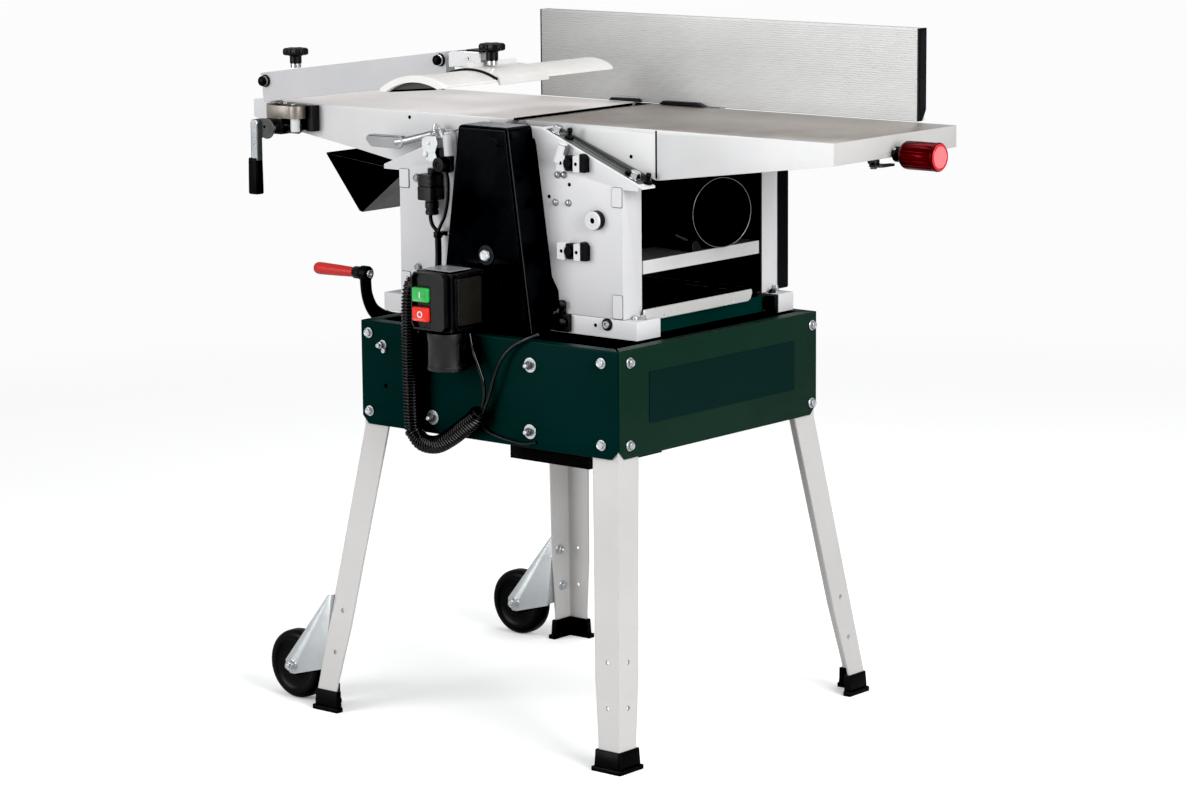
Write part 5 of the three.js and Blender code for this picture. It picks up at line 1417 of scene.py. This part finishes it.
def stand_fittings():
    panel_bolts = ((-220.2, 546.2), (-220.6, 433.9), (207.1, 545.6), (206.5, 433.4))   # x, z
    side_bolts = ((-198.4, 545.5), (-199.5, 432.4), (213.1, 544.5), (212.4, 431.9))    # y, z
    bolt = dict(flats=10, h=4.2, washer=7.6, wt=1.2)
    plated, nuts = [], []
    for x, z in panel_bolts:
        plated += [hex_bolt((x, PANEL_Y, z), FORWARD, spin=0.3 * x, **bolt),
                   hex_bolt((x, -PANEL_Y, z), BACK, spin=0.2 * x, **bolt)]
    for y, z in side_bolts:
        plated += [hex_bolt((SIDE_X, y, z), RIGHT, spin=0.3 * y, **bolt),
                   hex_bolt((-SIDE_X, y, z), LEFT, spin=0.3 * y, **bolt)]
    plated += [hex_bolt((-193, PANEL_Y, 531.4), FORWARD, flats=9, h=7, washer=7, wt=1.2,
                        shank=4),
               hex_bolt((-189.5, PANEL_Y, 523.6), FORWARD, flats=7, h=4.5)]
    # motor fixings: washer, dark nut, stud
    washer = [(0, 0), (10.0, 0), (10.5, 0.5), (10.5, 1.3), (9.9, 1.8), (0, 1.8)]
    stud = [(0, 0), (3.1, 0), (3.1, 10.4), (2.5, 11.2), (0, 11.2)]
    for x, z in ((81.6, 530.5), (80.2, 437.9), (-99, 437.9)):
        nuts += hex_bolt((x, PANEL_Y - 1.75, z), FORWARD, flats=10.5, h=5.5, spin=0.4)
        plated += [lathe(washer, at=(x, PANEL_Y, z), axis=FORWARD, seg=36),
                   lathe(stud, at=(x, PANEL_Y - 1.7, z), axis=FORWARD, seg=18)]
    piece("stand_bolt_shadow_rings",
          [[disc((x + 0.5, PANEL_Y, z - 0.5), FORWARD, 8.9, 0.3, 28) for x, z in panel_bolts],
           [disc((SIDE_X, y + 0.5, z - 0.5), RIGHT, 8.9, 0.3, 28) for y, z in side_bolts]],
          BLACK, "machine_black")
    piece("stand_bolts", plated, ZINC, "zinc_plated", bevel=0.15, seg=1)
    piece("motor_fixing_nuts", nuts, DARK_ZINC, "zinc_plated", bevel=0.15, seg=1)
    piece("panel_hole", disc((-188.8, PANEL_Y, 473.1), FORWARD, 3.0, 0.25, seg=20), HOLE,
          "machine_black")
    piece("side_plate_blank",
          prism(rounded(328, 70.5, 2.5, (6.3, 492.2)), SIDE_X, SIDE_X + 0.9, "x"),
          BLANK, "machine_black", bevel=0.25)
    # on the rear left leg
    piece("leg_inner_bolts",
          [hex_bolt((-262.5, 237, 145.5), RIGHT, flats=11, h=5.0, washer=8.2, wt=1.2,
                    spin=0.5, shank=5),
           hex_bolt((-270.4, 252.8, 85), RIGHT, flats=10, h=5.0, washer=7.6, wt=1.2,
                    spin=0.3)],
          ZINC, "zinc_plated", bevel=0.15, seg=1)
    # painted shade: the roll behind the bar is near-black
    roll = tube([(173.4, y, 593.2) for y in (-99.6, 20, 143.6)], 9.6, 32)
    piece("pan_roll_cover", roll, SHADE_BLACK, "machine_black", bevel=0.8, angle=50, shade=50)
    bar = [(-106.5, 586.4), (-104.5, 584.8), (128, 584.8), (134, 588.0), (137.6, 596.0),
           (136.4, 601.6), (-104.5, 601.6), (-106.5, 600.0)]
    piece("pan_bar", prism(bar, 183.2, 186.4, "x"), BAR, "ground_steel", bevel=1.4, seg=3,
          angle=40, shade=50)


def rail_fittings():
    rail_top = 590.25
    rosette = [(0, 0), (8.4, 0), (8.8, 0.4), (8.8, 1.6), (8.0, 2.2), (6.6, 2.2), (6.2, 1.6),
               (0, 1.6)]
    piece("rail_rosette", lathe(rosette, at=(150.3, PLATE_Y, 582.5), axis=FORWARD, seg=30),
          PLASTIC, "plastic_black", shade=30)
    piece("rail_screws",
          [socket_screw((150.3, PLATE_Y - 1.5, 582.5), FORWARD, r=5.2, h=3.6, hole=2.6),
           dome_bolt((183.5, -122.5, rail_top), UP, r=4.0, h=4.2, washer=5.4),
           hex_bolt((193.5, -118.0, rail_top), UP, flats=8, h=4.5, washer=5.6, wt=1.0),
           hex_bolt((183.5, 196, rail_top), UP, flats=8, h=5.5, washer=5.6, wt=1.0,
                    shank=3)],
          ZINC, "zinc_plated", bevel=0.15, seg=1)
    # The black box in front of the rear rail's end is a dark block standing in for shade.
    piece("rail_black_screw_and_shade_block",
          [dome_bolt((186.0, 184, rail_top), UP, r=4.6, h=5.0, washer=5.6),
           box(184, 200, 171.5, 177.8, 563.7, 588)],
          PLASTIC, "machine_black", bevel=0.15, seg=1)
    piece("rail_latch",
          [prism(rounded(27, 25, 3, (73.5, 578.6), n=4), PLATE_Y - 8.0, PLATE_Y - 0.05),
           prism(rounded(10, 16, 2, (72.5, 598), n=3), PLATE_Y - 6.5, PLATE_Y - 0.05)],
          PLASTIC, "plastic_black", bevel=1.2, seg=3)
    knob = [(0, 0), (6.0, 0), (6.4, 0.5), (6.4, 4.6), (5.6, 6.0), (3.2, 6.8), (0, 6.9)]
    piece("rail_knobs",
          [lathe(knob, at=(x, PLATE_Y - out, z), axis=FORWARD, seg=24)
           for x, out, z in ((74.5, 4, 604), (78, 8, 580))],
          PLASTIC, "plastic_black", bevel=0.2, seg=1)
    piece("rail_dots", [disc((128.9, PLATE_Y, 579.4), FORWARD, 2.6, 0.25),
                        disc((-205, PLATE_Y, 578), FORWARD, 2.2, 0.25)],
          HOLE, "machine_black")


def plate_boss():
    at = (134, PLATE_Y, 725)
    ring = [(0, 9.2), (12.8, 9.2), (13.0, 9.8), (13.0, 11.6), (12.2, 12.4), (8.4, 12.4),
            (7.6, 11.8), (6.8, 12.4), (4.6, 12.4), (4.0, 11.6), (4.0, 10.2), (0, 10.2)]
    base = [(0, 0), (13.4, 0), (13.4, 9.2), (0, 9.2)]
    piece("plate_boss", [lathe(base, at, FORWARD, 44, mat=1), lathe(ring, at, FORWARD, 44)],
          [SILVER, PLASTIC], "frame_silver", shade=30)
    bore = [(0, 10.25), (3.9, 10.25), (3.9, 10.7), (0, 10.7)]
    piece("plate_boss_bore", lathe(bore, at, FORWARD), HOLE, "machine_black")


def guide_blocks():
    """Two pairs of silver blocks with dark parts between them and at their right."""
    blocks, gaps, holes = [], [], []
    for bottom, top in ((667.5, 691.0), (789.0, 812.0)):
        z, height = (bottom + top) / 2, top - bottom
        for left, right, hole in ((70.6, 84.4, 8.0), (100.4, 111.4, 5.2)):
            outline = rounded(right - left, height, 1.6, ((left + right) / 2, z), n=3)
            blocks.append(prism(outline, PLATE_Y - 12.0, PLATE_Y))
            holes.append(disc((left + hole, PLATE_Y - 12.0, z), FORWARD, 2.5, 0.25))
        button = [(0, 0), (6.6, 0), (7.2, 0.6), (7.2, 3.2), (6.4, 4.0), (0, 4.2)]
        hook = [(111.7, bottom + 0.4), (120.8, bottom + 0.4), (120.8, top - 3.0),
                (117.0, top + 1.6), (111.7, top + 3.0)]
        gaps += [prism(rounded(15.6, height - 2.0, 1.0, (92.4, z), n=2), PLATE_Y - 9.5, PLATE_Y),
                 lathe(button, at=(90.5, PLATE_Y - 9.0, z), axis=FORWARD, seg=24),
                 prism(hook, PLATE_Y - 11.2, PLATE_Y)]
    piece("guide_blocks", blocks, SILVER, "frame_silver", bevel=0.5)
    piece("guide_block_gaps", gaps, BLACK, "machine_black", bevel=0.4, seg=1)
    piece("guide_block_holes", holes, HOLE, "machine_black")
    y_front, y_back = PLATE_Y - 7.8, PLATE_Y - 5.6
    # The dark tube behind and to the right of the silver one is painted shade on the pin's right
    # side.
    piece("leaning_pin",
          [tube([(71.0, y_front, 801), (80.0, y_front, 825.2)], 7.6, 28),
           tube([(80.2, y_front, 825.6), (80.8, y_front, 827.4)], 6.4, 22),
           tube([(76.6, y_back, 801), (85.6, y_back, 824.6)], 5.4, 22, mat=1)],
          [SILVER, PIN_SHADE], "zinc_plated", bevel=0.7, angle=50, shade=40)


def plate_fixings():
    """Screws, holes and thin raised tabs on the front plate."""
    domes = ((64.0, 782.3), (75.2, 782.9), (59.9, 744.0), (82.9, 744.6))
    piece("plate_screws",
          [[dome_bolt((x, PLATE_Y, z), FORWARD, r=4.5, h=3.0, washer=5.0) for x, z in domes],
           [hex_bolt((-198, PLATE_Y, z), FORWARD, flats=9, h=4, washer=6.4, wt=1.1)
            for z in (632, 760)]],
          DULL_ZINC, "zinc_plated", bevel=0.15, seg=1, shade=45)
    piece("plate_holes", [disc((x, PLATE_Y, z), FORWARD, 2.7, 0.22)
                          for x, z in ((84.3, 770), (47.8, 751), (-130, 640))],
          HOLE, "machine_black")
    # left, right, bottom, top
    tabs = ((160.5, 177.0, 745, 771.5), (160.5, 177.0, 592, 624), (-231.6, -214, 745, 771),
            (-231.6, -214, 592, 624))

    def tab_sheets(grow, radius, shift, thick):
        return [prism(rounded(right - left + grow, top - bottom + grow, radius,
                              ((left + right) / 2 + shift, (bottom + top) / 2 - shift), n=3),
                      PLATE_Y - thick, PLATE_Y) for left, right, bottom, top in tabs]

    # painted shadows: dark sheets a little larger than the tabs, shifted right and down under them
    piece("plate_tab_painted_shadows", tab_sheets(grow=1.8, radius=2.4, shift=0.2, thick=0.35),
          DARK_ZINC, "frame_silver")
    piece("plate_tabs", tab_sheets(grow=0, radius=2.0, shift=0, thick=1.2), SILVER,
          "frame_silver", bevel=0.4)


def infeed_slopes():
    """Bolts, studs and machined strips on the front and rear inclined flanges."""
    def slope_z(x):
        return FLANGE_TOP - (x - 32.5) * math.tan(SLOPE)

    def band(left, right, low, left_high, right_high):
        return [(left, slope_z(left) + low), (right, slope_z(right) + low),
                (right, slope_z(right) + right_high), (left, slope_z(left) + left_high)]

    square = (math.sin(SLOPE), 0, math.cos(SLOPE))
    stud = [(0, 0), (3.6, 0), (4.0, 0.5), (4.0, 4.6), (3.2, 5.4), (0, 5.4)]
    post = [(0, 0), (6.2, 0), (6.6, 0.6), (6.6, 3.6), (5.6, 4.6), (2.9, 5.0), (2.9, 9.2),
            (3.9, 10.4), (3.9, 13.2), (2.8, 15.2), (0, 15.8)]
    bolts, dark = [], []
    for flange_y in (-127.5, 192.0):
        for kind, x, shift in (("bolt", 52, -1.0), ("post", 72, 1.0), ("bolt", 188, -1.0),
                               ("stud", 177, -2.0), ("post", 206, 6.0)):
            at = (x, flange_y + shift, slope_z(x) + 0.06)
            if kind == "bolt":
                bolts += hex_bolt(at, square, flats=13.5, h=8.5, washer=8.8, wt=1.6,
                                  recess=False)
                dark.append(disc(at, square, 9.6, 0.7, seg=28))
            elif kind == "stud":
                dark.append(lathe(stud, at, square, 20))
            else:
                dark.append(lathe(post, at, (0.12, 0, 0.99), 24))
    strip = band(40, 204, 0.05, 0.35, 0.35)
    rib = band(40, 204, 0.36, 1.3, 6.6)
    line = band(60, 196, 0.36, 0.6, 0.6)
    piece("way_strips", [prism(strip, -138.2, -113.6), prism(strip, 177.2, 203.4),
                         prism(rib, -113.5, -110.4)], WAY, "frame_silver")
    piece("way_lines", [prism(line, -127.2, -126.2), prism(line, -119.6, -118.2),
                        prism(line, -114.6, -113.6)], HOLE, "machine_black")
    piece("flange_bolts", bolts, BRIGHT, "zinc_plated", bevel=0.15, seg=1)
    piece("flange_set_screws", dark, BLACK, "machine_black", bevel=0.15, seg=1)


def bed_clamp():
    block = [(11, 667.6), (11, 676), (15, 682.5), (22, 683.5), (30, 676), (33, 667.6)]
    piece("bed_clamp", [prism(block, 162.5, 177.5, "x"),
                        tube([(150, 6, 690), (171, 26, 676)], 4.6, 18)],
          PLASTIC, "plastic_black", "bed", bevel=0.9)


def port_rim():
    """Bright edge round the chip hood's round port: a painted highlight."""
    turn = 18 * RAD
    rim = [(48.5, 0.03), (49.45, 0.03), (49.45, 0.35), (49.2, 0.55), (48.8, 0.55),
           (48.5, 0.35), (48.5, 0.03)]
    piece("port_rim", lathe(rim, at=(185.0, 69.0, 717.6),
                            axis=(math.cos(turn), -math.sin(turn), 0), seg=96),
          PORT_HIGHLIGHT, "machine_black", "chip_hood", shade=40)


def limit_switch():
    gland = [(0, 712), (8.6, 712), (9.6, 713), (9.6, 718), (8.8, 719), (8.8, 721),
             (9.9, 722), (9.9, 730), (9.0, 731), (9.0, 733.4), (0, 733.4)]
    cap = [(0, 769.8), (7.4, 769.8), (7.6, 776.5), (6.6, 777.8), (0, 778)]
    piece("limit_switch_case",
          [prism(rounded(26.5, 29, 2.4, (-158.6, -157), n=4), 733.2, 752.5, "z"),
           prism(rounded(26, 28.2, 3.0, (-158.6, -156.8), n=4), 752.9, 770, "z"),
           lathe(gland, at=(-156.5, -157, 0)), lathe(cap, at=(-157.5, -153, 0), seg=28)],
          BOX, "plastic_black", bevel=0.8, angle=45, replaces="limit_switch")
    piece("limit_switch_screws",
          [socket_screw((x, -170.9, z), FORWARD, r=2.2, h=1.2, hole=1.0)
           for z in (765.5, 757.5) for x in (-168.3, -149.0)], DARK_ZINC, "zinc_plated")

    # bent plate, bushing and roller above the switch
    plate = [(-176, 818), (-168, 822.5), (-150, 823.2), (-146, 812), (-151, 800),
             (-147, 790.5), (-156, 787), (-172, 789), (-170, 797), (-176, 803)]
    top_fold = [(-153.4, 819.6), (-142.2, 819.6), (-142.2, 822.2), (-153.4, 822.2)]
    bottom_fold = [(-155.6, 786), (-142.2, 786), (-142.2, 788.4), (-155.6, 788.4)]
    piece("limit_plate",
          [prism(plate, -155.6, -153.4), prism(top_fold, -168, -151, "x"),
           prism(bottom_fold, -168, -155, "x")], ZINC, "zinc_plated", bevel=0.6)
    piece("limit_plate_cap",
          [dome_bolt((-168.5, -155.8, 796.6), FORWARD, r=4.4, h=3.4),
           dome_bolt((-163.5, -155.8, 812.5), FORWARD, r=2.8, h=1.8)],
          MARK, "plastic_white", shade=50)
    bushing = [(0, 0), (10.4, 0), (11.0, 0.8), (11.0, 10), (10.2, 11), (4.6, 11.2),
               (4.2, 9.6), (0, 9.6)]
    piece("limit_bushing",
          [lathe(bushing, at=(-140.5, -150.5, 783.5), axis=FORWARD, seg=36),
           prism(rounded(30, 34, 6, (-142, 789)), -150.4, -142.0)],
          PLASTIC, "plastic_black", bevel=0.8, angle=45)
    y = -151.5
    piece("limit_roller", [tube([(-124.5, y, 797), (-127.5, y, 827)], 9.2, 30),
                           tube([(-127.4, y, 827.2), (-127.8, y, 830.4)], 6.8, 24)],
          SILVER, "plastic_white", bevel=0.7, angle=50, shade=40)
    piece("limit_bolts",
          [hex_bolt((-127.8, y, 830.4), (-0.1, 0, 1), flats=8, h=4.5, recess=False),
           hex_bolt((-156, -150.5, 822.3), UP, flats=7.5, h=4.0, washer=5.0, wt=0.8)],
          BRIGHT, "zinc_plated", bevel=0.2, seg=1)


def limit_cables():
    """Two wires that meet at a clip; one sleeve runs on down behind the switch box."""
    # radius, sides, course
    cables = [
        (2.8, 12, [(-159.5, -157, 714), (-159, -157.5, 706), (-155, -158, 697),
                   (-148.6, -157, 690), (-147.4, -157, 684)]),
        (2.4, 12, [(-133, -152, 776), (-130, -152, 760), (-131, -152, 735),
                   (-136, -153, 712), (-142.5, -155, 698), (-145.0, -157, 690),
                   (-144.6, -157, 684)]),
        (4.6, 18, [(-146.2, -157, 689), (-146, -157, 676), (-145.4, -157.5, 655),
                   (-144.6, -160, 634), (-141, -170, 616), (-130, -196, 606),
                   (-112, -222, 604)])]
    piece("limit_cables",
          [tube(smooth_path(course, 10), radius, sides) for radius, sides, course in cables],
          PLASTIC, "plastic_black", shade=60)
    ring = [(4.7, 0), (6.2, 0), (6.4, 0.6), (6.4, 7.4), (6.2, 8), (4.7, 8), (4.7, 0)]
    foot = [(-153, 682), (-153, 688), (-133, 688), (-133, 682)]
    piece("cable_clip",
          [lathe(ring, at=(-146.1, -157, 680.5), seg=28),
           prism(foot, PLATE_Y - 3.0, PLATE_Y - 0.1),
           box(-147.5, -144.5, -151.5, PLATE_Y - 2.5, 682.5, 687.5)],
          PLASTIC, "plastic_black", bevel=0.6)
    piece("cable_clip_screw",
          dome_bolt((-136.0, PLATE_Y - 3.0, 685), FORWARD, r=3.4, h=2.2),
          DULL_ZINC, "plastic_white", shade=50)


def table_details():
    """Holes and a seam on the front skirts, and dark lips either side of the cutterblock."""
    y = -109.5 - 0.03
    for side, x, z in (("infeed", 167.5, 811.0), ("outfeed", -240.5, 841.0)):
        piece(f"{side}_skirt_hole", disc((x, y, z), FORWARD, 2.7, 0.22), HOLE,
              "machine_black", f"{side}_table")
    seam = [(209.6, 784.2), (212.6, 784.2), (212.6, 848.8), (209.6, 848.8)]
    piece("skirt_seam", prism(seam, y - 0.05, y + 0.9), HOLE, "machine_black",
          "infeed_table")
    # x of each lip's table side, and of its top and bottom corners towards the slot
    for side, outer, top, bottom in (("outfeed", -53.8, -49.8, -51.4),
                                     ("infeed", -20.2, -24.2, -22.6)):
        lip = [(outer, 846.6), (outer, 849.9), (top, 849.9), (bottom, 846.6)]
        piece(f"{side}_lip", prism(lip, -97, 162.5), COVER, "machine_black",
              f"{side}_table", bevel=0.2, seg=1)


# ============================================================ floor, light, camera
def floor():
    """Wide flat disc, pale near the machine and glowing white further out."""
    n = 96
    radii = (1.5, 3.0, 6.0, 14.0, 30.0, 70.0)
    verts = [(0, 0, 0)] + [(r * math.cos(2 * math.pi * q / n), r * math.sin(2 * math.pi * q / n), 0)
                           for r in radii for q in range(n)]
    faces = [(0, 1 + q, 1 + (q + 1) % n) for q in range(n)]
    for ring in range(len(radii) - 1):
        a, b = 1 + ring * n, 1 + (ring + 1) * n
        faces += [(a + q, b + q, b + (q + 1) % n, a + (q + 1) % n) for q in range(n)]
    mesh = bpy.data.meshes.new("floor")
    mesh.from_pydata(verts, [], faces)
    mesh.shade_smooth()
    obj = bpy.data.objects.new("floor", mesh)
    bpy.context.scene.collection.objects.link(obj)

    s = Shader("pale_floor")
    camera_ray = s.node("ShaderNodeLightPath").outputs["Is Camera Ray"]
    seen = s.mix(s.patches(scale=0.8), (0.97, 0.97, 0.97), (0.985, 0.985, 0.985))
    x, y, _ = s.xyz(s.place)
    distance = s.math("SQRT", s.math("ADD", s.math("MULTIPLY", x, x),
                                     s.math("MULTIPLY", y, y)))
    fade = (1.3, 3.4)           # metres over which the floor turns to plain white
    seen = s.mix(s.remap(distance, span=fade), seen, (0.0, 0.0, 0.0))
    s.set("Base Color", s.mix(camera_ray, (0.55, 0.55, 0.55), seen))
    s.set("Roughness", 0.85)
    s.set("Specular IOR Level", 0.1)
    s.set("Emission Color", (1, 1, 1, 1))
    glow = s.remap(distance, span=fade, to=(0.17, 0.96))
    s.set("Emission Strength", s.math("MULTIPLY", camera_ray, glow))
    mesh.materials.append(s.material)


def world():
    """White to the camera, a dimmer cool white for lighting."""
    studio = bpy.data.worlds.new("studio")
    bpy.context.scene.world = studio
    studio.use_nodes = True
    nodes, link = studio.node_tree.nodes, studio.node_tree.links.new
    nodes.clear()
    mix = nodes.new("ShaderNodeMixShader")
    link(nodes.new("ShaderNodeLightPath").outputs["Is Camera Ray"], mix.inputs[0])
    for socket, color, strength in ((1, (0.97, 0.985, 1.0, 1), 0.42),
                                    (2, (1, 1, 1, 1), 1.0)):
        background = nodes.new("ShaderNodeBackground")
        background.inputs[0].default_value = color
        background.inputs[1].default_value = strength
        link(background.outputs[0], mix.inputs[socket])
    link(mix.outputs[0], nodes.new("ShaderNodeOutputWorld").inputs[0])


def area_light(name, at, target, size, power):
    light = bpy.data.lights.new(name, "AREA")
    light.shape = "RECTANGLE"
    light.size, light.size_y = size
    light.energy = power
    light.color = (1, 1, 1)
    light.spread = 180 * RAD
    obj = bpy.data.objects.new(name, light)
    obj.location = at
    obj.rotation_mode = "QUATERNION"
    obj.rotation_quaternion = (Vector(target) - Vector(at)).to_track_quat("-Z", "Y")
    bpy.context.scene.collection.objects.link(obj)


def lights():
    area_light("key_right", at=(3.6, -0.9, 1.9), target=(0, 0, 0.6), size=(2.0, 2.4),
               power=160)
    area_light("fill_left", at=(-1.7, -3.6, 1.6), target=(0, 0, 0.6), size=(2.2, 2.2),
               power=104)
    area_light("top_soft", at=(0.2, 0.4, 3.6), target=(0, 0, 0.5), size=(3.0, 3.0),
               power=55)


def camera():
    data = bpy.data.cameras.new("photo_camera")
    data.sensor_fit = "HORIZONTAL"
    data.sensor_width = 36.0
    data.lens = 110.58
    data.clip_start = 0.1
    data.clip_end = 100
    obj = bpy.data.objects.new("photo_camera", data)
    azimuth, elevation, roll = 39.849 * RAD, 10.119 * RAD, -0.480 * RAD
    back = Vector((math.sin(azimuth) * math.cos(elevation),
                   -math.cos(azimuth) * math.cos(elevation), math.sin(elevation)))
    right = Vector((math.cos(azimuth), math.sin(azimuth), 0))
    up = back.cross(right)
    c, s = math.cos(roll), math.sin(roll)
    pose = Matrix((right * c + up * s, up * c - right * s, back)).transposed().to_4x4()
    pose.translation = Vector((3.27215, -3.9310, 1.3625))
    obj.matrix_world = pose
    bpy.context.scene.collection.objects.link(obj)
    bpy.context.scene.camera = obj


def color_management():
    view = bpy.context.scene.view_settings
    view.view_transform = "Standard"
    view.look = "None"
    view.exposure = 0.0
    view.gamma = 1.0
    view.use_curve_mapping = True
    view.curve_mapping.black_level = (0.006, 0.006, 0.006)
    view.curve_mapping.update()


# ============================================================ build
for names, look, width, segments, slot_name, settings in CAD_LOOKS:
    for node_name in names.split():
        cad(node_name, look, width, segments, slot_name, **settings)

for build in (fence, guard_profile, guard_slider, guard_fittings, guard_clamp_lever,
              outfeed_clamp_lever, depth_knob, crank, wheels, feet, belt_cover, switch_box,
              conduit, stand_fittings, rail_fittings, plate_boss, guide_blocks,
              plate_fixings, infeed_slopes, bed_clamp, port_rim, limit_switch, limit_cables,
              table_details, floor, world, lights, camera, color_management):
    build()
